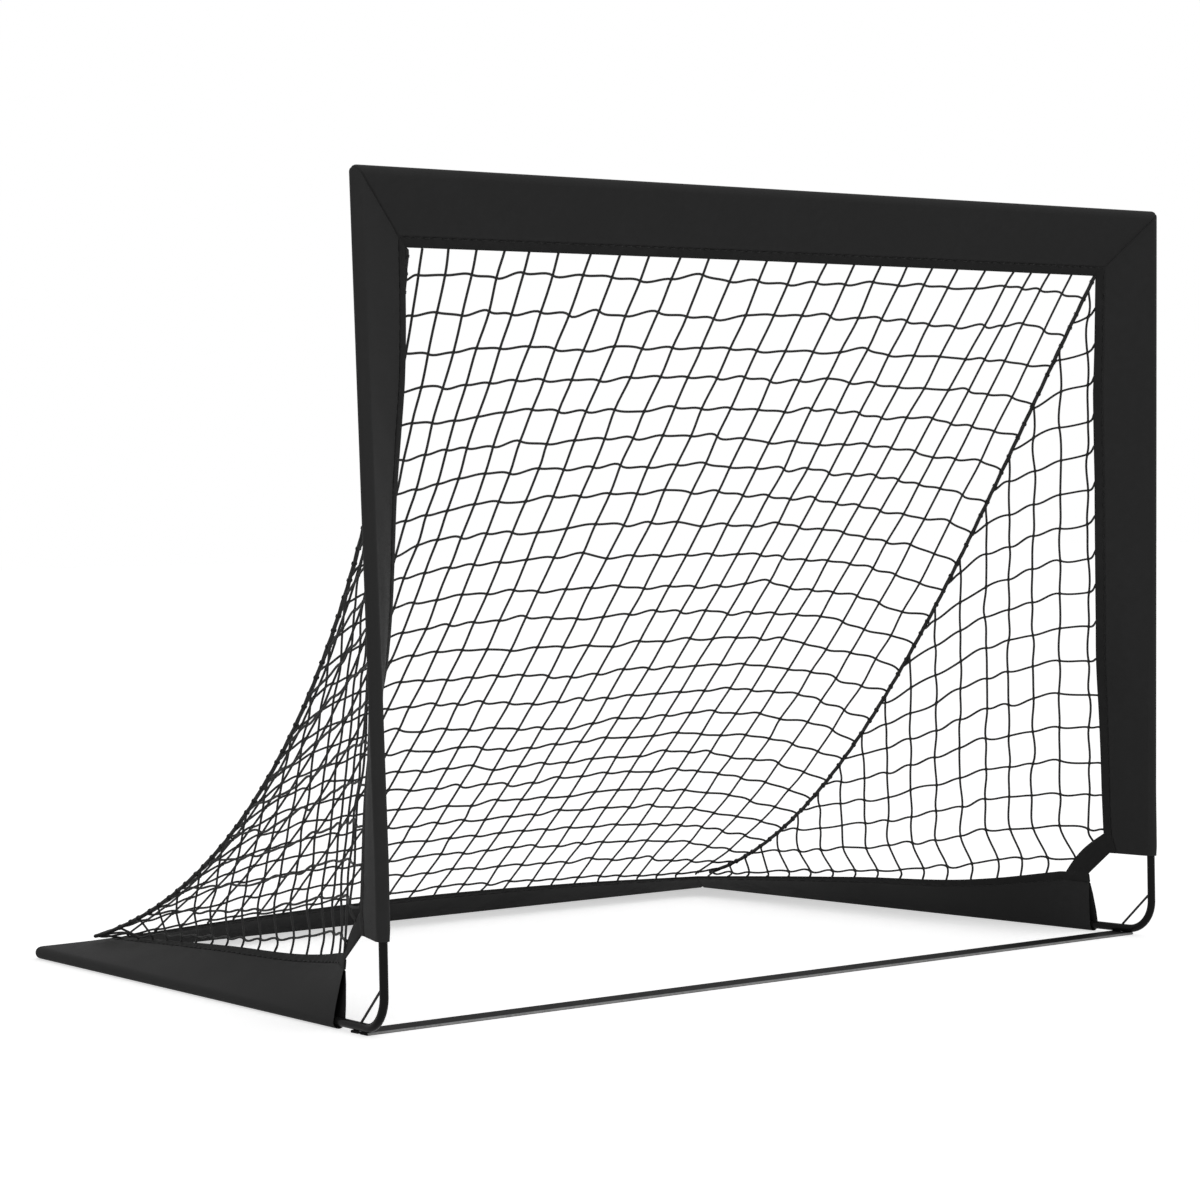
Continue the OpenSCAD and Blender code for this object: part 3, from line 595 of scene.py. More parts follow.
def split_node(tree, vector):
    split = tree.nodes.new("ShaderNodeSeparateXYZ")
    tree.links.new(vector, split.inputs[0])
    return split.outputs


def spread_node(tree, value, **ends):
    """Spreads a value over another range, held within its ends."""
    spread = tree.nodes.new("ShaderNodeMapRange")
    for label, number in ends.items():
        spread.inputs[label.replace("_", " ")].default_value = number
    tree.links.new(value, spread.inputs["Value"])
    return spread.outputs[0]


def dot_node(tree, first, second):
    dot = tree.nodes.new("ShaderNodeVectorMath")
    dot.operation = "DOT_PRODUCT"
    put(tree, first, dot.inputs[0])
    put(tree, second, dot.inputs[1])
    return dot.outputs["Value"]


def plain_weave():
    """Over-and-under weave from a UV in metres."""
    group, given, out = new_group(
        "Plain weave",
        [("Threads per metre", "NodeSocketFloat", 1400.0), ("Unevenness", "NodeSocketFloat", 0.3)],
        [("Height", "NodeSocketFloat")],
    )
    uv = group.nodes.new("ShaderNodeUVMap")
    uv.uv_map = "cloth"
    noise = group.nodes.new("ShaderNodeTexNoise")
    noise.inputs["Scale"].default_value = 260.0
    group.links.new(uv.outputs[0], noise.inputs["Vector"])
    split = split_node(group, uv.outputs[0])
    turns = math_node(group, "MULTIPLY", given.outputs[0], math.pi)
    waves = [
        math_node(group, "SINE", math_node(group, "MULTIPLY", split[k], turns)) for k in (0, 1)
    ]
    height = math_node(group, "MULTIPLY", waves[0], waves[1])
    rough = math_node(group, "MULTIPLY", noise.outputs["Fac"], given.outputs[1])
    group.links.new(math_node(group, "ADD", height, rough), out.inputs["Height"])
    return group


def dust_and_scuffs():
    """Soft patches broken up by finer ones, from the piece's own coordinates."""
    group, given, out = new_group(
        "Dust and scuffs",
        [("Patch scale", "NodeSocketFloat", 14.0), ("Amount", "NodeSocketFloat", 0.5)],
        [("Mask", "NodeSocketFloat")],
    )
    scale, amount = given.outputs[0], given.outputs[1]
    patch = noise_node(group, scale, 5.0)
    fine = noise_node(group, math_node(group, "MULTIPLY", scale, 9.0), 3.0)
    both = math_node(group, "MULTIPLY", patch, fine)
    mask = spread_node(group, both, From_Min=0.2, From_Max=0.5)
    group.links.new(math_node(group, "MULTIPLY", mask, amount), out.inputs["Mask"])
    return group


def yarn_twist():
    """Slanting strands round a yarn or rope, from a UV of metres along and turns round."""
    group, given, out = new_group(
        "Yarn twist",
        [("Twists per metre", "NodeSocketFloat", 300.0), ("Strands", "NodeSocketFloat", 3.0)],
        [("Height", "NodeSocketFloat")],
    )
    uv = group.nodes.new("ShaderNodeUVMap")
    uv.uv_map = "cloth"
    split = split_node(group, uv.outputs[0])
    along = math_node(group, "MULTIPLY", split[0], given.outputs[0])
    around = math_node(group, "MULTIPLY", split[1], given.outputs[1])
    turns = math_node(group, "MULTIPLY", math_node(group, "ADD", along, around), 2 * math.pi)
    height = math_node(group, "ABSOLUTE", math_node(group, "SINE", turns))
    group.links.new(height, out.inputs["Height"])
    return group


def edge_wear():
    """Where edges are rubbed: sharp edges broken up by patches."""
    group, given, out = new_group(
        "Edge wear",
        [("Width", "NodeSocketFloat", 0.0008), ("Amount", "NodeSocketFloat", 0.6)],
        [("Mask", "NodeSocketFloat")],
    )
    bevel = group.nodes.new("ShaderNodeBevel")
    bevel.samples = 4
    group.links.new(given.outputs[0], bevel.inputs["Radius"])
    face = group.nodes.new("ShaderNodeNewGeometry")
    turned = dot_node(group, bevel.outputs[0], face.outputs["Normal"])
    sharp = math_node(group, "MULTIPLY", math_node(group, "SUBTRACT", 1.0, turned), 9.0)
    broken = math_node(group, "MULTIPLY", sharp, noise_node(group, 70.0, 4.0))
    mask = math_node(group, "MULTIPLY", broken, given.outputs[1], clamp=True)
    group.links.new(mask, out.inputs["Mask"])
    return group


GROUPS = {}


def group_node(tree, name, **values):
    if name not in GROUPS:
        GROUPS[name] = {
            "Plain weave": plain_weave, "Dust and scuffs": dust_and_scuffs,
            "Yarn twist": yarn_twist, "Edge wear": edge_wear,
        }[name]()
    node = tree.nodes.new("ShaderNodeGroup")
    node.node_tree = GROUPS[name]
    for label, value in values.items():
        node.inputs[label.replace("_", " ")].default_value = value
    return node


def base_material(name, colour, roughness, metallic=0.0, specular=0.5, coat=0.0, sheen=0.0):
    made = bpy.data.materials.new(name)
    made.use_nodes = True
    tree = made.node_tree
    shader = tree.nodes["Principled BSDF"]
    shader.inputs["Base Color"].default_value = (*colour, 1)
    shader.inputs["Roughness"].default_value = roughness
    shader.inputs["Metallic"].default_value = metallic
    shader.inputs["Specular IOR Level"].default_value = specular
    shader.inputs["Coat Weight"].default_value = coat
    shader.inputs["Coat Roughness"].default_value = 0.12
    shader.inputs["Sheen Weight"].default_value = sheen
    shader.inputs["Sheen Roughness"].default_value = 0.4
    MATERIALS[name] = made
    return tree, shader


def mixed_colour(tree, shader, mask, first, second):
    mix = tree.nodes.new("ShaderNodeMix")
    mix.data_type = "RGBA"
    mix.inputs[6].default_value = (*first, 1)
    mix.inputs[7].default_value = (*second, 1)
    tree.links.new(mask, mix.inputs[0])
    tree.links.new(mix.outputs[2], shader.inputs["Base Color"])


def mixed_roughness(tree, shader, mask, low, high):
    tree.links.new(spread_node(tree, mask, To_Min=low, To_Max=high), shader.inputs["Roughness"])


def bumped(tree, shader, height, distance, strength):
    bump = tree.nodes.new("ShaderNodeBump")
    bump.inputs["Distance"].default_value = distance
    bump.inputs["Strength"].default_value = strength
    tree.links.new(height, bump.inputs["Height"])
    tree.links.new(bump.outputs[0], shader.inputs["Normal"])


def cloth_material(name, colour, dusty, roughness):
    tree, shader = base_material(name, colour, roughness, specular=0.03)
    weave = group_node(tree, "Plain weave", Threads_per_metre=1500.0, Unevenness=0.5)
    dust = group_node(tree, "Dust and scuffs", Patch_scale=9.0, Amount=0.8)
    mixed_colour(tree, shader, dust.outputs[0], colour, dusty)
    mixed_roughness(tree, shader, dust.outputs[0], roughness - 0.05, roughness + 0.09)
    bumped(tree, shader, weave.outputs[0], 0.00006, 0.35)


def painted_material(name, colour, worn, roughness, coat=0.0, wear=0.35, metallic=0.0):
    tree, shader = base_material(name, colour, roughness, metallic, specular=0.04, coat=coat)
    rubbed = group_node(tree, "Edge wear", Width=0.0007, Amount=wear)
    mixed_colour(tree, shader, rubbed.outputs[0], colour, worn)
    dust = group_node(tree, "Dust and scuffs", Patch_scale=30.0, Amount=0.7)
    mixed_roughness(tree, shader, dust.outputs[0], roughness, roughness + 0.14)
    bumped(tree, shader, noise_node(tree, 900.0), 0.00004, 0.3)


def yarn_material(name, colour, lit, twists, strands, depth, roughness=0.75):
    tree, shader = base_material(name, colour, roughness, specular=0.3, sheen=0.05)
    twist = group_node(tree, "Yarn twist", Twists_per_metre=twists, Strands=strands)
    mixed_colour(tree, shader, twist.outputs[0], colour, lit)
    dust = group_node(tree, "Dust and scuffs", Patch_scale=60.0, Amount=0.5)
    mixed_roughness(tree, shader, dust.outputs[0], roughness - 0.08, roughness + 0.1)
    bumped(tree, shader, twist.outputs[0], depth, 0.7)


def bar_material(name, colour, edge_highlight):
    """Black painted flat bar whose front and back faces are painted paler: a painted highlight for
    the floor's reflection, broken up by dust patches.
    """
    tree, shader = base_material(name, colour, 0.6, specular=0.01)
    face = tree.nodes.new("ShaderNodeNewGeometry")
    # Faces that look to the front or back get the painted highlight colour, which stands in for
    # the floor's reflection
    tall = math_node(tree, "ABSOLUTE", split_node(tree, face.outputs["Normal"])[1])
    edge = spread_node(tree, tall, From_Min=0.55, From_Max=0.75)
    dust = group_node(tree, "Dust and scuffs", Patch_scale=40.0, Amount=0.5)
    kept = math_node(tree, "SUBTRACT", 1.0, dust.outputs[0])
    mask = math_node(tree, "MULTIPLY", edge, kept)
    mixed_colour(tree, shader, mask, colour, edge_highlight)
    mixed_roughness(tree, shader, mask, 0.5, 0.6)
    bumped(tree, shader, noise_node(tree, 700.0), 0.00005, 0.3)


# ---- Settings that a user would change ----
class GoalCloth(bpy.types.PropertyGroup):
    colour: bpy.props.FloatVectorProperty(
        name="Cloth colour", description="Colour of the coated cloth", subtype="COLOR",
        default=(0.036, 0.036, 0.036), min=0, max=1,
    )
    dusty: bpy.props.FloatVectorProperty(
        name="Dusty colour", description="Colour of the cloth where it has dust on it",
        subtype="COLOR", default=(0.042, 0.042, 0.0425), min=0, max=1,
    )
    roughness: bpy.props.FloatProperty(
        name="Cloth roughness", description="Roughness of the coated cloth", default=0.66,
        min=0.1, max=1,
    )
    slack: bpy.props.FloatProperty(
        name="Slack", description="Height of the waves in the flat of a cover", default=0.0006,
        min=0, max=0.002, unit="LENGTH",
    )
    stitch_pitch: bpy.props.FloatProperty(
        name="Stitch pitch", description="Distance from one stitch to the next", default=0.0145,
        min=0.004, max=0.03, unit="LENGTH",
    )


class GoalNet(bpy.types.PropertyGroup):
    twine: bpy.props.FloatProperty(
        name="Twine diameter", description="Diameter of the net's twine", default=0.0030,
        min=0.001, max=0.004, unit="LENGTH",
    )
    columns: bpy.props.IntProperty(
        name="Meshes across", description="Meshes across the rear net", default=26, min=10, max=40,
    )
    rows: bpy.props.IntProperty(
        name="Meshes down", description="Meshes down the rear net", default=26, min=10, max=40,
    )
    side_column: bpy.props.FloatProperty(
        name="Side mesh width", description="Distance between the side nets' upright strings",
        default=0.050, min=0.03, max=0.09, unit="LENGTH",
    )
    side_row: bpy.props.FloatProperty(
        name="Side mesh height", description="Distance between the side nets' cross strings",
        default=0.044, min=0.03, max=0.09, unit="LENGTH",
    )
    lean: bpy.props.FloatProperty(
        name="Lean", description="How far the cross strings lean over at each knot",
        default=0.36, min=0, max=0.8,
    )
    looseness: bpy.props.FloatProperty(
        name="Looseness", description="How unevenly the strings lean over at their knots",
        default=0.16, min=0, max=0.8,
    )
    colour: bpy.props.FloatVectorProperty(
        name="Twine colour", description="Colour of the twine", subtype="COLOR",
        default=(0.006, 0.006, 0.006), min=0, max=1,
    )


class GoalFrameFinish(bpy.types.PropertyGroup):
    paint: bpy.props.FloatVectorProperty(
        name="Paint", description="Paint of the tubes and the bar", subtype="COLOR",
        default=(0.012, 0.012, 0.012), min=0, max=1,
    )
    worn: bpy.props.FloatVectorProperty(
        name="Worn edge", description="Colour of rubbed paint", subtype="COLOR",
        default=(0.12, 0.12, 0.12), min=0, max=1,
    )
    # Colour of the painted highlight on the bar's front and back faces, standing in for the
    # floor's reflection
    edge_highlight: bpy.props.FloatVectorProperty(
        name="Highlight edge", description="Colour of the bar's rubbed edges", subtype="COLOR",
        default=(0.42, 0.42, 0.42), min=0, max=1,
    )


class GoalStage(bpy.types.PropertyGroup):
    lens: bpy.props.FloatProperty(
        name="Lens", description="Focal length of the camera in millimetres", default=99.741,
        min=20, max=300,
    )
    floor: bpy.props.FloatProperty(
        name="Floor", description="Grey of the floor in diffuse light", default=0.86, min=0, max=1,
    )
    sky: bpy.props.FloatProperty(
        name="Sky light", description="Strength of the soft light all round", default=1.0,
        min=0, max=2,
    )
    front: bpy.props.FloatProperty(
        name="Left share", default=0.36, min=0, max=1,
        description="Soft light from the left, as a share of that from the right and low down",
    )


# ---- Operators ----
class GOAL_OT_materials(bpy.types.Operator):
    """Make the finishes of cloth, twine, paint and plate"""

    bl_idname = "goal.materials"
    bl_label = "Make finishes"

    def execute(self, context):
        scene = context.scene
        cloth, net, finish = scene.goal_cloth, scene.goal_net, scene.goal_finish
        cloth_material("coated cloth", cloth.colour, cloth.dusty, cloth.roughness)
        bound = [0.75 * c for c in cloth.colour]
        cloth_material("hem binding", bound, cloth.colour, cloth.roughness + 0.05)
        yarn_material("thread", 3 * [0.003], 3 * [0.012], 160.0, 2.0, 0.0001, 0.9)
        lit = [min(1, c * 2.2) for c in net.colour]
        yarn_material("net twine", net.colour, lit, 260.0, 3.0, 0.0002)
        yarn_material("corner rope", net.colour, lit, 85.0, 3.0, 0.0004)
        yarn_material("elastic cord", 3 * [0.008], 3 * [0.02], 400.0, 8.0, 0.0001)
        painted_material("gloss tube", finish.paint, finish.worn, 0.24, coat=0.03, wear=0.2)
        painted_material("painted pole", finish.paint, finish.worn, 0.42)
        painted_material("corner nylon", 3 * [0.03], 3 * [0.06], 0.55)
        painted_material("zinc plate", (0.45, 0.46, 0.48), 3 * [0.6], 0.4, metallic=1.0)
        # The bar's front and back faces get a painted highlight colour
        bar_material("bar paint", finish.paint, finish.edge_highlight)
        return {"FINISHED"}


NODE_FINISH = {
    "gloss tube": ("elbow_left", "elbow_right"),
    "elastic cord": ("mouth_cord", "ground_cord"),
    "bar paint": ("ground_bar",),
    "zinc plate": (
        "bar_screws", "upright_ferrule_left", "upright_ferrule_right", "crossbar_ferrule",
        "side_ferrule_left", "side_ferrule_right", "rear_ferrule",
    ),
    "painted pole": (
        "upright_pole_left_lower", "upright_pole_left_upper", "upright_pole_right_lower",
        "upright_pole_right_upper", "crossbar_pole_left", "crossbar_pole_right",
        "side_pole_left_front", "side_pole_left_rear", "side_pole_right_front",
        "side_pole_right_rear", "rear_pole_left", "rear_pole_right",
    ),
    "corner nylon": (
        "top_corner_left", "top_corner_right", "rear_corner_left", "rear_corner_right",
    ),
}


class GOAL_OT_frame_finish(bpy.types.Operator):
    """Finish the CAD tubes, poles, bar, screws, corners and cords"""

    bl_idname = "goal.frame_finish"
    bl_label = "Finish the frame"

    def execute(self, context):
        for name, nodes in NODE_FINISH.items():
            for node in nodes:
                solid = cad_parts[node]
                if not solid.material_slots:
                    solid.data.materials.append(material(name))
                for slot in solid.material_slots:
                    slot.material = material(name)
        return {"FINISHED"}


class GOAL_OT_crossbar_cover(bpy.types.Operator):
    """Make the crossbar's cover with its hem and stitches"""

    bl_idname = "goal.crossbar_cover"
    bl_label = "Crossbar cover"

    def execute(self, context):
        dress(
            CROSSBAR, "crossbar", 0, ["crossbar_sleeve"], "mouth_frame",
            ["crossbar_pole_left", "crossbar_pole_right"], 11,
            slack=context.scene.goal_cloth.slack,
        )
        return {"FINISHED"}


class GOAL_OT_upright_covers(bpy.types.Operator):
    """Make the two uprights' covers with their hems and stitches"""

    bl_idname = "goal.upright_covers"
    bl_label = "Upright covers"

    def execute(self, context):
        for side in (-1, 1):
            end = side_name(side)
            dress(
                UPRIGHT, "upright", side, [f"upright_sleeve_{end}"], None,
                [f"upright_pole_{end}_lower", f"upright_pole_{end}_upper"], 30 + side,
                slack=context.scene.goal_cloth.slack, puff=0.0022, cuffs=(False, True),
            )
        return {"FINISHED"}


class GOAL_OT_side_covers(bpy.types.Operator):
    """Make the two side poles' covers with their hems and stitches"""

    bl_idname = "goal.side_covers"
    bl_label = "Side covers"

    def execute(self, context):
        for side in (-1, 1):
            end = side_name(side)
            dress(
                SIDE, "side", side, [f"side_sleeve_{end}"], "ground_frame",
                [f"side_pole_{end}_front", f"side_pole_{end}_rear"], 50 + side,
                slack=context.scene.goal_cloth.slack, open_mouth=0.0008,
            )
        return {"FINISHED"}


class GOAL_OT_rear_cover(bpy.types.Operator):
    """Make the rear pole's cover with its hem and stitches"""

    bl_idname = "goal.rear_cover"
    bl_label = "Rear cover"

    def execute(self, context):
        dress(
            BACK, "rear", 0, ["rear_sleeve"], "ground_frame",
            ["rear_pole_left", "rear_pole_right"], 71, slack=context.scene.goal_cloth.slack,
        )
        return {"FINISHED"}


GUSSET = 0.028  # how far a gusset reaches up an upright's hem
GUSSET_BACK = 1.1 * GUSSET  # how far it reaches along a side hem
GUSSET_LAP = 0.2  # share of it that laps over each hem
GUSSET_WAIST = 0.005  # how far its net side is cut in
GUSSET_HALF, LAP_HALF = 0.0007, 0.0011  # half its thickness, and what is added at the laps


def gusset_grid(run, cross):
    """Points of the right gusset: run goes from hem to hem, cross from the elbow to the net."""
    up, back = 1 - GUSSET / UPRIGHT.length * cross, GUSSET_BACK / SIDE.length * cross
    # Each end laps over its hem strip, so the patch starts and ends inside the seam lines
    past = -HEM_W - LAP
    start, end = UPRIGHT.hem(up), SIDE.hem(back)
    lines = np.array([UPRIGHT.hem(up, past), start, end, SIDE.hem(back, past)])
    at = (0, GUSSET_LAP, 1 - GUSSET_LAP, 1)
    shares = np.array([np.interp(run, at, own) for own in np.eye(4)])
    grid = np.einsum("ki,kjc->ijc", shares, lines)
    # The net side of the patch is cut to a curve
    bow = np.sin(np.pi * fade(run - GUSSET_LAP, 1 - 2 * GUSSET_LAP))
    waist = GUSSET_WAIST * bow[:, None, None] * cross[None, :, None] ** 2
    return grid - waist * unit(start[0] - start[-1] + end[0] - end[-1])


class GOAL_OT_gussets(bpy.types.Operator):
    """Make the cloth patches between the uprights' hems and the side hems"""

    bl_idname = "goal.gussets"
    bl_label = "Gussets"

    def execute(self, context):
        cross = np.linspace(0, 1, 9)
        run = np.concatenate([
            np.linspace(0, GUSSET_LAP, 6)[:-1], np.linspace(GUSSET_LAP, 1 - GUSSET_LAP, 15),
            np.linspace(1 - GUSSET_LAP, 1, 6)[1:],
        ])
        grid = gusset_grid(run, cross)
        spans = np.cross(np.gradient(grid, axis=0), np.gradient(grid, axis=1))
        normal = unit(spans)
        lap = fade(np.abs(run - 0.5) - 0.28, 0.06)
        edge = np.minimum(1, 0.25 + 6 * np.minimum(cross, 1 - cross))
        half = ((GUSSET_HALF + LAP_HALF * lap)[:, None] * edge)[..., None]
        shell = Shell()
        u = np.linspace(0, 0.1, len(run))
        front = shell.grid(grid + normal * half, u, cross * GUSSET, flip=True)
        rear = shell.grid(grid - normal * half, u, cross * GUSSET)
        rows, columns = front.shape
        for i in range(rows - 1):
            shell.fan([front[i, 0], front[i + 1, 0], rear[i + 1, 0], rear[i, 0]][::-1])
            shell.fan([front[i, -1], front[i + 1, -1], rear[i + 1, -1], rear[i, -1]])
        for j in range(columns - 1):
            shell.fan([front[0, j], front[0, j + 1], rear[0, j + 1], rear[0, j]])
            shell.fan([front[-1, j], front[-1, j + 1], rear[-1, j + 1], rear[-1, j]][::-1])
        for side in (-1, 1):
            word = side_name(side)
            piece = shell.build(f"gusset_{word}_cloth", material("hem binding"), side)
            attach(piece, "ground_frame")
            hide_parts(f"gusset_{word}")
        return {"FINISHED"}


CORD_R = 0.0015
CORD_UP = 0.046  # height at which the elastic cord leaves an elbow's upright leg
CORD_BACK = 0.049  # distance behind the mouth at which it enters the ground leg
LEG_R = 0.005


class GOAL_OT_elbow_cords(bpy.types.Operator):
    """Make the taut elastic cord that passes the bend of each elbow"""

    bl_idname = "goal.elbow_cords"
    bl_label = "Elbow cords"

    def execute(self, context):
        out = FOOT + SIDE_WAY * LEG_R + [0, 0, CORD_UP]
        into = FOOT + SIDE_WAY * CORD_BACK + [0, 0, LEG_R]
        line = out + (into - out) * np.linspace(0, 1, 20)[:, None]
        for side in (-1, 1):
            word = side_name(side)
            shell = Shell()
            shell.tube(line, CORD_R, 12, ref=(1, 0, 0))
            cord = shell.build(f"elbow_{word}_cord", material("elastic cord"), side)
            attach(cord, "ground_frame")
            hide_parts(f"elbow_cord_{word}")
        return {"FINISHED"}


ROPE_LAY = 85.0  # waves of its strands in a metre of rope
LASHING_R, LASHING_HALF = 0.0007, 0.0017  # radius of a lashing's twine, half its length
ROPE_PAST = 0.012  # share of the rope that runs past the net's foot


def lashing_line(at):
    """Two turns of twine round the rope."""
    way = unit(rope_at(at + 0.004) - rope_at(at - 0.004))
    a = unit(np.cross(way, [1, 0, 0]))
    angle = np.linspace(0, 4 * np.pi, 26)[:, None]
    ring = np.cos(angle) * a + np.sin(angle) * np.cross(way, a)
    rise = way * np.linspace(-LASHING_HALF, LASHING_HALF, 26)[:, None]
    return rope_at(at) + (ROPE_R + SEAM_GAP) * ring + rise, way


class GOAL_OT_ropes(bpy.types.Operator):
    """Make the two corner ropes with the lashings that tie the nets to them"""

    bl_idname = "goal.ropes"
    bl_label = "Corner ropes"

    def execute(self, context):
        rows = context.scene.goal_net.rows - 1
        line = rope_at(np.linspace(0, NET_FOOT + ROPE_PAST, 420))
        # The upper end is tucked into the seam of the corner
        lead = UPRIGHT.hem(0.0) + [0.002, 0.004, 0.002]
        tuck = lead + (line[0] - lead) * np.linspace(0, 1, 6)[:-1, None]
        line = np.concatenate([tuck, line])
        thick = ROPE_R * np.clip(0.55 + 0.075 * np.arange(len(line)), 0, 1)
        for side in (-1, 1):
            word = side_name(side)
            shell = Shell()
            shell.tube(line, thick, 12, ref=(1, 0, 0), turns=ROPE_LAY / 3, lobes=3)
            rope = shell.build(f"rope_{word}", material("corner rope"), side)
            ties = Shell()
            rng = np.random.default_rng(90 + side)
            for j in range(1, 2 * rows):
                at = np.clip((j - 0.8) / (2 * rows) * NET_FOOT, 0.006, 0.985)
                coil, way = lashing_line(at + rng.uniform(-0.003, 0.003))
                ties.tube(coil, LASHING_R, 5, ref=way)
            lashing = ties.build(f"rope_{word}_lashings", material("net twine"), side)
            for part in (rope, lashing):
                hang(part)
            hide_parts(f"corner_rope_{word}")
        return {"FINISHED"}


def wandering(knots, across, lean, looseness, rng, steps):
    """A string through its knots, which leans over at each and wanders between them."""
    knots = np.asarray(knots, float)
    way = np.gradient(knots, axis=0)
    size = np.linalg.norm(way, axis=1, keepdims=True)
    tangent = way + rng.normal(lean, looseness, (len(knots), 1)) * size * across
    u = (np.arange(steps) / steps)[:, None]
    pieces = [cubic(*ends, u) for ends in zip(knots, knots[1:], tangent, tangent[1:])]
    return np.concatenate([*pieces, knots[-1:]])


REAR_HEM_Y = BACK.hem(0.0)[1]
NET_FOOT = float(rope_share(1, REAR_HEM_Y - 0.0045))
NET_SAG = 0.045
NET_CREST = 4.0  # how flat the net's middle is between the ropes
NET_IN = 0.002  # how far inside a hem's edge its strings end
HEM_PULL = 40  # how late a slope string turns in to a hem
ROPE_IN = 0.0012  # how far inside a rope's middle the cross strings end


def rear_net_at(u, v):
    """A point of the rear net, u across from the left rope and v down from the crossbar."""
    rope = rope_at(v * NET_FOOT)
    top, low = CROSSBAR.hem(0.5), BACK.hem(0.5)
    sag = unit([0, -(TOP[2] - FOOT[2]), -(REAR[1] - FOOT[1])])
    mid = top + (low - top) * v + sag * NET_SAG * 4 * v * (1 - v)
    k = 1 - abs(2 * u - 1) ** NET_CREST
    p = np.array([(2 * u - 1) * (rope[0] - ROPE_IN), *(rope[1:] * (1 - k) + mid[1:] * k)])
    inside = np.clip(k * 3, 0, 1)
    if v < 1:
        hem = CROSSBAR.hem((p[0] + TOP[0]) / (2 * TOP[0]), -NET_IN)
        p = p + (hem - p) * [0, 1, 1] * inside * (1 - v) ** HEM_PULL
    if v > 0:
        hem = BACK.hem((p[0] + REAR[0]) / (2 * REAR[0]), -NET_IN)
        p = p + (hem - p) * [0, 1, 1] * inside * v**HEM_PULL
    return p


MESHES = 26  # each way, that the numbers below are given for
# How the net's tension draws the slope strings along, in meshes: the share of each string,
# by its number, and the strength, by height from the crossbar down
LEFT_PULL = ((0, 1, 5, 9, 13, 17, 26), (0, 0.6, 1, 0.85, 0.5, 0.1, 0))
LEFT_STRENGTH = ((0, 0.2, 0.4, 0.7, 1), (-0.9, -1.3, -1.15, -0.5, 0.15))
RIGHT_PULL = ((7, 13, 20, 25, 26), (0, 0.5, 1, 0.3, 0))
RIGHT_STRENGTH = ((0, 0.4, 0.7, 1), (0.3, 0.5, 0.5, 0.65))
BUNCH = ((20, 22, 24), (0, 0.4, 0))  # strings gathered on the crossbar near the right
BUNCH_DEPTH = 0.4
# How far the cross strings stand off their level, in meshes, by their number
ROW_LEFT = 0.15
ROW_MIDDLE = ((1, 8, 16, 25), (0.2, 0.6, -0.75, 0.8))
ROW_RIGHT = ((1, 7, 25), (0.3, -0.1, 0.4))
ROW_SPAN = 24.9  # levels from the crossbar's hem to the rear hem
STRAY_DOWN, STRAY_ACROSS = 0.0022, 0.0009  # how far a knot strays, as shares of the net
SLOPE_LOOSE = 0.03  # how unevenly the slope strings lean at a knot


def column_at(i, v, columns):
    """Share across the rear net of its i-th slope string at a height."""
    even = i * MESHES / columns
    drift = (
        np.interp(even, *LEFT_PULL) * np.interp(v, *LEFT_STRENGTH)
        + np.interp(even, *RIGHT_PULL) * np.interp(v, *RIGHT_STRENGTH)
        + np.interp(even, *BUNCH) * max(1 - v / BUNCH_DEPTH, 0)
    )
    return (even + drift * (0 < i < columns)) / MESHES


def row_at(j, u, rows):
    """Share down the rear net of its j-th cross string at a place across."""
    even = j * MESHES / rows
    drifts = (ROW_LEFT, np.interp(even, *ROW_MIDDLE), np.interp(even, *ROW_RIGHT))
    return min(max((even - np.interp(u, [0, 0.5, 1], drifts)) / ROW_SPAN, 0.0), 1.0)


class GOAL_OT_rear_net(bpy.types.Operator):
    """Make the sloping rear net, string by string, with its knots"""

    bl_idname = "goal.rear_net"
    bl_label = "Rear net"

    def execute(self, context):
        net = context.scene.goal_net
        columns, rows, r = net.columns, net.rows, net.twine / 2
        rng = np.random.default_rng(5)
        grid = np.zeros((columns + 1, rows + 1, 3))
        for i in range(columns + 1):
            for j in range(rows + 1):
                v = row_at(j, column_at(i, j / rows, columns), rows) if 0 < j < rows else j / rows
                v += rng.normal(0, STRAY_DOWN) if 0 < j < rows else 0
                u = column_at(i, v, columns)
                u += rng.normal(0, STRAY_ACROSS) if 0 < i < columns else 0
                grid[i, j] = rear_net_at(u, min(max(v, 0), 1))
        slope = unit(unit(grid[:, -1] - grid[:, 0]).mean(0))
        shell = Shell()
        for i in range(1, columns):
            line = wandering(grid[i], np.array([1.0, 0, 0]), 0.0, SLOPE_LOOSE, rng, 4)
            shell.tube(line, r, 6, ref=(1, 0, 0))
        for j in range(1, rows):
            line = wandering(grid[:, j], slope, net.lean, net.looseness, rng, 8)
            shell.tube(line, r, 6, ref=slope)
            for i in range(1, columns):
                shell.ball(grid[i, j], (r * 1.7, r * 1.5, r * 1.7))
        piece = shell.build("rear_net_twine", material("net twine"))
        hang(piece)
        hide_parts("rear_net")
        return {"FINISHED"}


# Where the side net's upright strings leave the side hem, and how far forward they lean
SIDE_COLUMNS = ((0, 4, 14, 17), (-0.334, -0.192, 0.232, 0.352))
SIDE_LEAN = ((-0.334, -0.10, 0.19, 0.36), (0.065, 0.052, 0.004, 0.0))
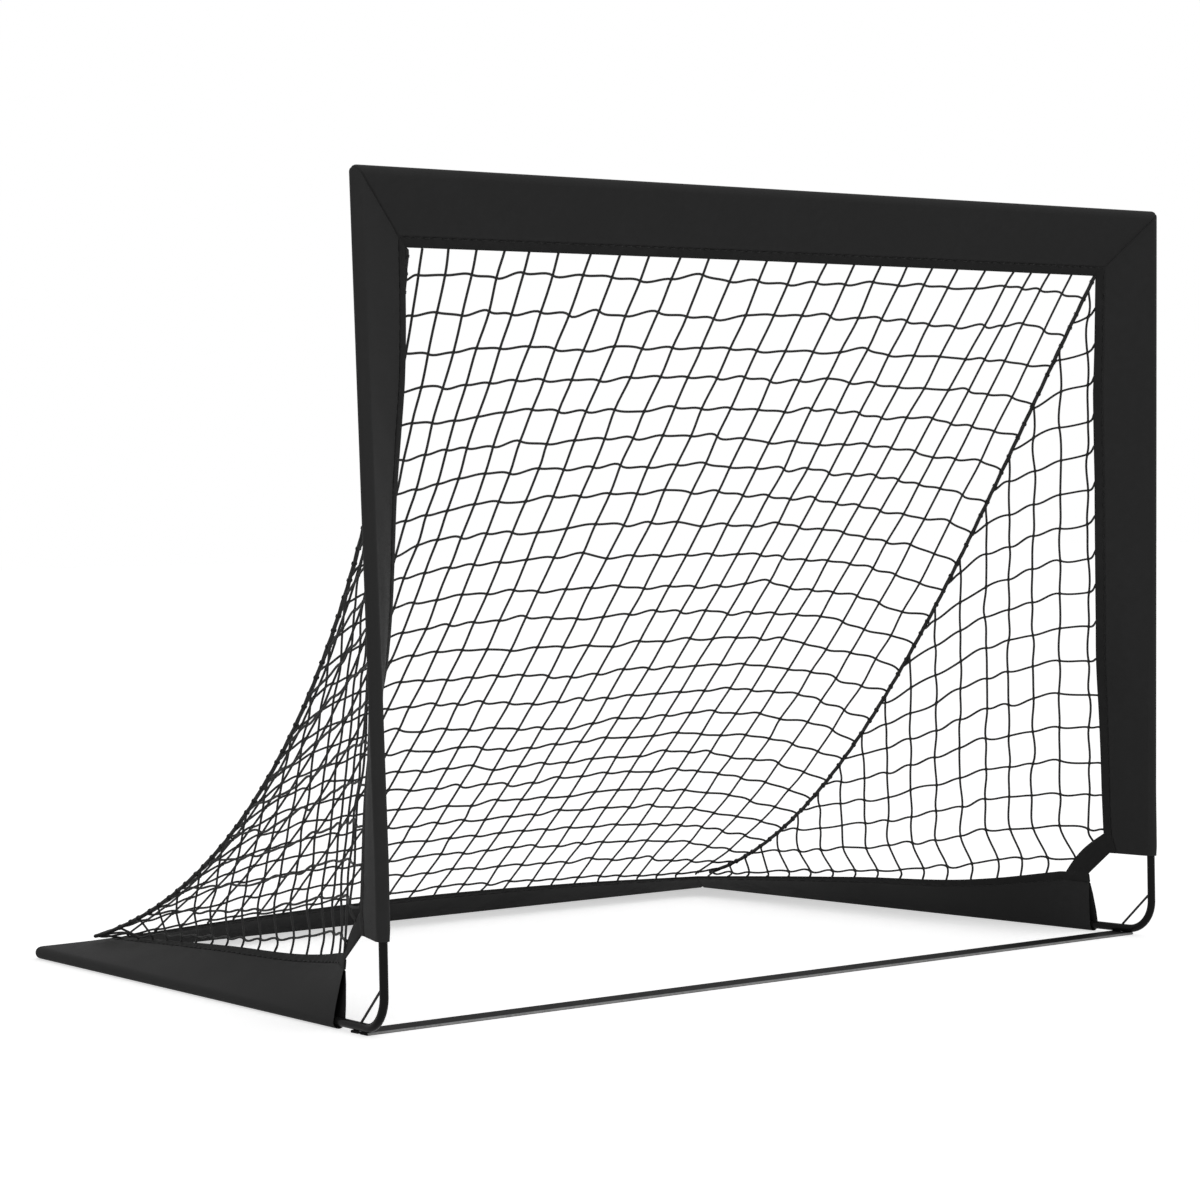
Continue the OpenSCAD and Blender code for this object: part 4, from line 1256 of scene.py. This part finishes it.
# How far its cross strings lie above each other and above the hem
SIDE_PITCH = ((-0.33, -0.17, 0.0, 0.3), (0.0446, 0.0405, 0.033, 0.027))
SIDE_GAP = ((-0.33, -0.2, 0.0, 0.33), (0.017, 0.027, 0.012, 0.006))
HEM_T = np.linspace(0, 1, 400)
SIDE_HEM = SIDE.hem(HEM_T, -NET_IN)
UPRIGHT_HEM = UPRIGHT.hem(HEM_T, -NET_IN)
SIDE_LAST = 17.2  # upright strings of a side net, at its own mesh width
SIDE_MOST = 40  # cross strings at most
SIDE_DRAWN = 0.018  # how far forward the lowest meshes are drawn
SIDE_MESH = (0.050, 0.044)  # mesh width and height that the numbers above are given for
SIDE_LOOSE = 0.0011  # how far a knot strays
SIDE_CLEAR_TOP, SIDE_CLEAR_LOW = 0.010, 0.004  # no knot closer to a rope or to a lowest knot
SIDE_RISE = 0.012  # how far the upper cross strings rise to the upright
FRONT_LOW, FRONT_HIGH = 0.3, 0.9  # part of a gusset's edge that takes cross strings
SIDE_LEANS = 0.6  # how far its cross strings lean at a knot, as a share of the rear net's


def side_hem_at(y):
    return np.array([np.interp(y, SIDE_HEM[:, 1], SIDE_HEM[:, k]) for k in range(3)])


def side_level(y, row, tall):
    """Height of a cross string of the side net at a place along it."""
    return side_hem_at(y)[2] + np.interp(y, *SIDE_GAP) + row * tall * np.interp(y, *SIDE_PITCH)


def side_net_knots(wide, tall, rng):
    """Knots of the right net's cross strings and upright strings."""
    corner, heel = UPRIGHT.hem(1 - GUSSET / UPRIGHT.length), SIDE.hem(GUSSET_BACK / SIDE.length)
    columns, rows = [], {}
    for i in np.arange(0, SIDE_LAST, wide):
        y = float(np.interp(i, *SIDE_COLUMNS))
        low = side_hem_at(y)
        top = rope_at(rope_share(1, y - np.interp(y, *SIDE_LEAN))).reshape(3)
        # The lowest mesh is drawn forward, the first strings end on the gusset
        column = [side_hem_at(y - SIDE_DRAWN) if i > 0.9 else heel + (corner - heel) * 0.75]
        for row in range(SIDE_MOST):
            z = side_level(y, row, tall)
            if z > top[2] - SIDE_CLEAR_TOP:
                break
            if z < column[0][2] + SIDE_CLEAR_LOW:
                continue
            share = (z - low[2]) / (top[2] - low[2])
            knot = low + (top - low) * share + rng.normal(0, SIDE_LOOSE, 3) * [0.5, 1, 1]
            if row == 0:
                knot = side_hem_at(y - SIDE_DRAWN - NET_IN) + (top - low) * share
            column.append(knot)
            rows.setdefault(row, []).append(knot)
        columns.append(np.array([*column, top]))
    lines = []
    for row, knots in rows.items():
        # Front end on the upright's hem, or on the gusset lower down
        z = knots[0][2] + SIDE_RISE * min(max((row - 5) / 3, 0), 1)
        if z > corner[2]:
            front = [np.interp(-z, -UPRIGHT_HEM[:, 2], UPRIGHT_HEM[:, k]) for k in range(3)]
        else:
            share = (z - heel[2]) / (corner[2] - heel[2])
            share = min(max(share, FRONT_LOW), FRONT_HIGH)
            front = heel + (corner - heel) * share + [0, 0.004, 0]
        # Rear end on the rope
        feet = ROPE_LINE[:, 1] + np.interp(ROPE_LINE[:, 1] + 0.04, *SIDE_LEAN)
        levels = [side_level(y, row, tall) for y in feet[::10]]
        above = ROPE_LINE[::10, 2] - np.array(levels)
        end = ROPE_LINE[10 * int(np.argmax(above < 0))] if (above < 0).any() else knots[-1]
        line = [np.array(front), *knots]
        if end[1] > knots[-1][1] + 0.006:
            line.append(end)
        lines.append(np.array(line))
    return lines, columns


class GOAL_OT_side_nets(bpy.types.Operator):
    """Make the two side nets, string by string, with their knots"""

    bl_idname = "goal.side_nets"
    bl_label = "Side nets"

    def execute(self, context):
        net = context.scene.goal_net
        r = net.twine / 2
        for side in (-1, 1):
            rng = np.random.default_rng(40 + side)
            shell = Shell()
            wide, tall = net.side_column / SIDE_MESH[0], net.side_row / SIDE_MESH[1]
            lines, columns = side_net_knots(wide, tall, rng)
            for line in lines:
                path = wandering(
                    line, np.array([0, 0, 1.0]), SIDE_LEANS * net.lean, net.looseness, rng, 8
                )
                shell.tube(path, r, 6, ref=(0, 0, 1))
            for line in columns:
                path = wandering(line, np.array([0, 1.0, 0]), 0.0, net.looseness, rng, 6)
                shell.tube(path, r, 6, ref=(0, 1, 0))
                for knot in line[1:-1]:
                    shell.ball(knot, (r * 1.5, r * 1.7, r * 1.7))
            word = side_name(side)
            piece = shell.build(f"side_net_{word}_twine", material("net twine"), side)
            hang(piece)
            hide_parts(f"side_net_{word}")
        return {"FINISHED"}


FAR = 30  # half the floor's width
FLOOR_GLOW, FLOOR_DIM = 0.55, 0.5  # the floor where it is seen, and how much light it throws back
LIGHT_WAY = (0.8, 0.0, -0.3)  # towards the brightest soft light
LAMPS = (
    ("overhead_light", (0.2, 0.5, 3.4), (0, 0, 0.3), 3.0, 5),
    ("right_light", (4.2, -1.6, 2.4), (0, 0, 0.4), 2.6, 9),
    ("left_light", (-3.4, -2.6, 1.2), (0, 0, 0.3), 2.2, 26),
)
CAMERA_AT = (-2.5934, -3.4077, 0.5679)
YAW, PITCH, ROLL = math.radians(37.657), math.radians(1.561), math.radians(-1.005)


def seen_by(tree, *rays):
    """1 on the rays named, and nothing on the others."""
    path = tree.nodes.new("ShaderNodeLightPath")
    seen = path.outputs[rays[0]]
    for ray in rays[1:]:
        seen = math_node(tree, "MAXIMUM", seen, path.outputs[ray])
    return seen


def picked(tree, mask, first, second, output):
    """Puts out the first shader, and the second where the mask is 1."""
    pick = tree.nodes.new("ShaderNodeMixShader")
    for socket, value in zip(pick.inputs, (mask, first, second)):
        tree.links.new(value, socket)
    tree.links.new(pick.outputs[0], tree.nodes[output].inputs["Surface"])


class GOAL_OT_stage(bpy.types.Operator):
    """Set the floor, the lights, the surroundings and the camera"""

    bl_idname = "goal.stage"
    bl_label = "Stage"

    def execute(self, context):
        scene, stage = context.scene, context.scene.goal_stage
        scene.view_settings.view_transform = "Standard"
        self.camera(scene, stage)
        self.floor(scene, stage)
        self.world(scene, stage)
        for lamp in LAMPS:
            self.lamp(scene, *lamp)
        return {"FINISHED"}

    def camera(self, scene, stage):
        ahead = Vector((
            math.sin(YAW) * math.cos(PITCH), math.cos(YAW) * math.cos(PITCH), -math.sin(PITCH)
        ))
        level = Vector((math.cos(YAW), -math.sin(YAW), 0))
        upward = level.cross(ahead)
        right = level * math.cos(ROLL) + upward * math.sin(ROLL)
        up = -level * math.sin(ROLL) + upward * math.cos(ROLL)
        data = bpy.data.cameras.new("camera")
        data.lens, data.sensor_width = stage.lens, 36
        data.clip_start, data.clip_end = 0.05, 60
        eye = bpy.data.objects.new("camera", data)
        eye.matrix_world = Matrix.Translation(CAMERA_AT) @ Matrix(
            [(right[k], up[k], -ahead[k]) for k in range(3)]
        ).to_4x4()
        scene.collection.objects.link(eye)
        scene.camera = eye

    def floor(self, scene, stage):
        mesh = bpy.data.meshes.new("floor")
        corners = [(x * FAR, y * FAR, 0) for x, y in ((-1, -1), (1, -1), (1, 1), (-1, 1))]
        mesh.from_pydata(corners, [], [(0, 1, 2, 3)])
        made = bpy.data.materials.new("studio floor")
        made.use_nodes = True
        tree = made.node_tree
        shader = tree.nodes["Principled BSDF"]
        shader.inputs["Base Color"].default_value = (stage.floor, stage.floor, stage.floor, 1)
        shader.inputs["Roughness"].default_value = 0.9
        shader.inputs["Specular IOR Level"].default_value = 0.0
        glow = tree.nodes.new("ShaderNodeEmission")
        glow.inputs["Strength"].default_value = FLOOR_GLOW
        dim = tree.nodes.new("ShaderNodeBsdfDiffuse")
        dim.inputs["Color"].default_value = (FLOOR_DIM, FLOOR_DIM, FLOOR_DIM, 1)
        both = tree.nodes.new("ShaderNodeAddShader")
        tree.links.new(shader.outputs[0], both.inputs[0])
        tree.links.new(glow.outputs[0], both.inputs[1])
        seen = seen_by(tree, "Is Camera Ray", "Is Glossy Ray")
        picked(tree, seen, dim.outputs[0], both.outputs[0], "Material Output")
        mesh.materials.append(made)
        floor = bpy.data.objects.new("floor", mesh)
        scene.collection.objects.link(floor)

    def world(self, scene, stage):
        world = bpy.data.worlds.new("studio")
        scene.world = world
        world.use_nodes = True
        tree = world.node_tree
        soft = tree.nodes["Background"]
        soft.inputs["Strength"].default_value = stage.sky
        place = tree.nodes.new("ShaderNodeTexCoord")
        way = Vector(LIGHT_WAY).normalized()
        turned = dot_node(tree, place.outputs["Generated"], way)
        grey = spread_node(tree, turned, From_Min=-0.9, To_Min=stage.front, To_Max=1.0)
        tree.links.new(grey, soft.inputs["Color"])
        white = tree.nodes.new("ShaderNodeBackground")
        white.inputs["Color"].default_value = (1, 1, 1, 1)
        white.inputs["Strength"].default_value = 1.0
        seen = seen_by(tree, "Is Camera Ray", "Is Transmission Ray", "Is Glossy Ray")
        picked(tree, seen, soft.outputs[0], white.outputs[0], "World Output")

    def lamp(self, scene, name, at, towards, size, power):
        data = bpy.data.lights.new(name, "AREA")
        data.shape, data.size, data.energy = "DISK", size, power
        lamp = bpy.data.objects.new(name, data)
        lamp.location = at
        way = Vector(towards) - Vector(at)
        lamp.rotation_euler = way.to_track_quat("-Z", "Y").to_euler()
        scene.collection.objects.link(lamp)


STEPS = (
    GOAL_OT_materials, GOAL_OT_frame_finish, GOAL_OT_crossbar_cover, GOAL_OT_upright_covers,
    GOAL_OT_side_covers, GOAL_OT_rear_cover, GOAL_OT_gussets, GOAL_OT_elbow_cords, GOAL_OT_ropes,
    GOAL_OT_rear_net, GOAL_OT_side_nets, GOAL_OT_stage,
)


class GOAL_PT_dresser(bpy.types.Panel):
    """Pieces of the goal and their settings"""

    bl_idname = "GOAL_PT_dresser"
    bl_label = "Goal dresser"
    bl_space_type = "VIEW_3D"
    bl_region_type = "UI"
    bl_category = "Goal"

    def draw(self, context):
        layout, scene = self.layout, context.scene
        for step in STEPS:
            layout.operator(step.bl_idname)
        for words in ("goal_cloth", "goal_net", "goal_finish", "goal_stage"):
            settings = getattr(scene, words)
            box = layout.box()
            for name in settings.bl_rna.properties.keys():
                if name not in ("rna_type", "name"):
                    box.prop(settings, name)


SETTINGS = {
    "goal_cloth": GoalCloth, "goal_net": GoalNet, "goal_finish": GoalFrameFinish,
    "goal_stage": GoalStage,
}


def register():
    for cls in (*SETTINGS.values(), *STEPS, GOAL_PT_dresser):
        bpy.utils.register_class(cls)
    for name, cls in SETTINGS.items():
        setattr(bpy.types.Scene, name, bpy.props.PointerProperty(type=cls))


def unregister():
    for name in SETTINGS:
        delattr(bpy.types.Scene, name)
    for cls in reversed((*SETTINGS.values(), *STEPS, GOAL_PT_dresser)):
        bpy.utils.unregister_class(cls)


def main():
    register()
    for step in STEPS:
        group, name = step.bl_idname.split(".")
        getattr(getattr(bpy.ops, group), name)()


if __name__ == "__main__":
    main()
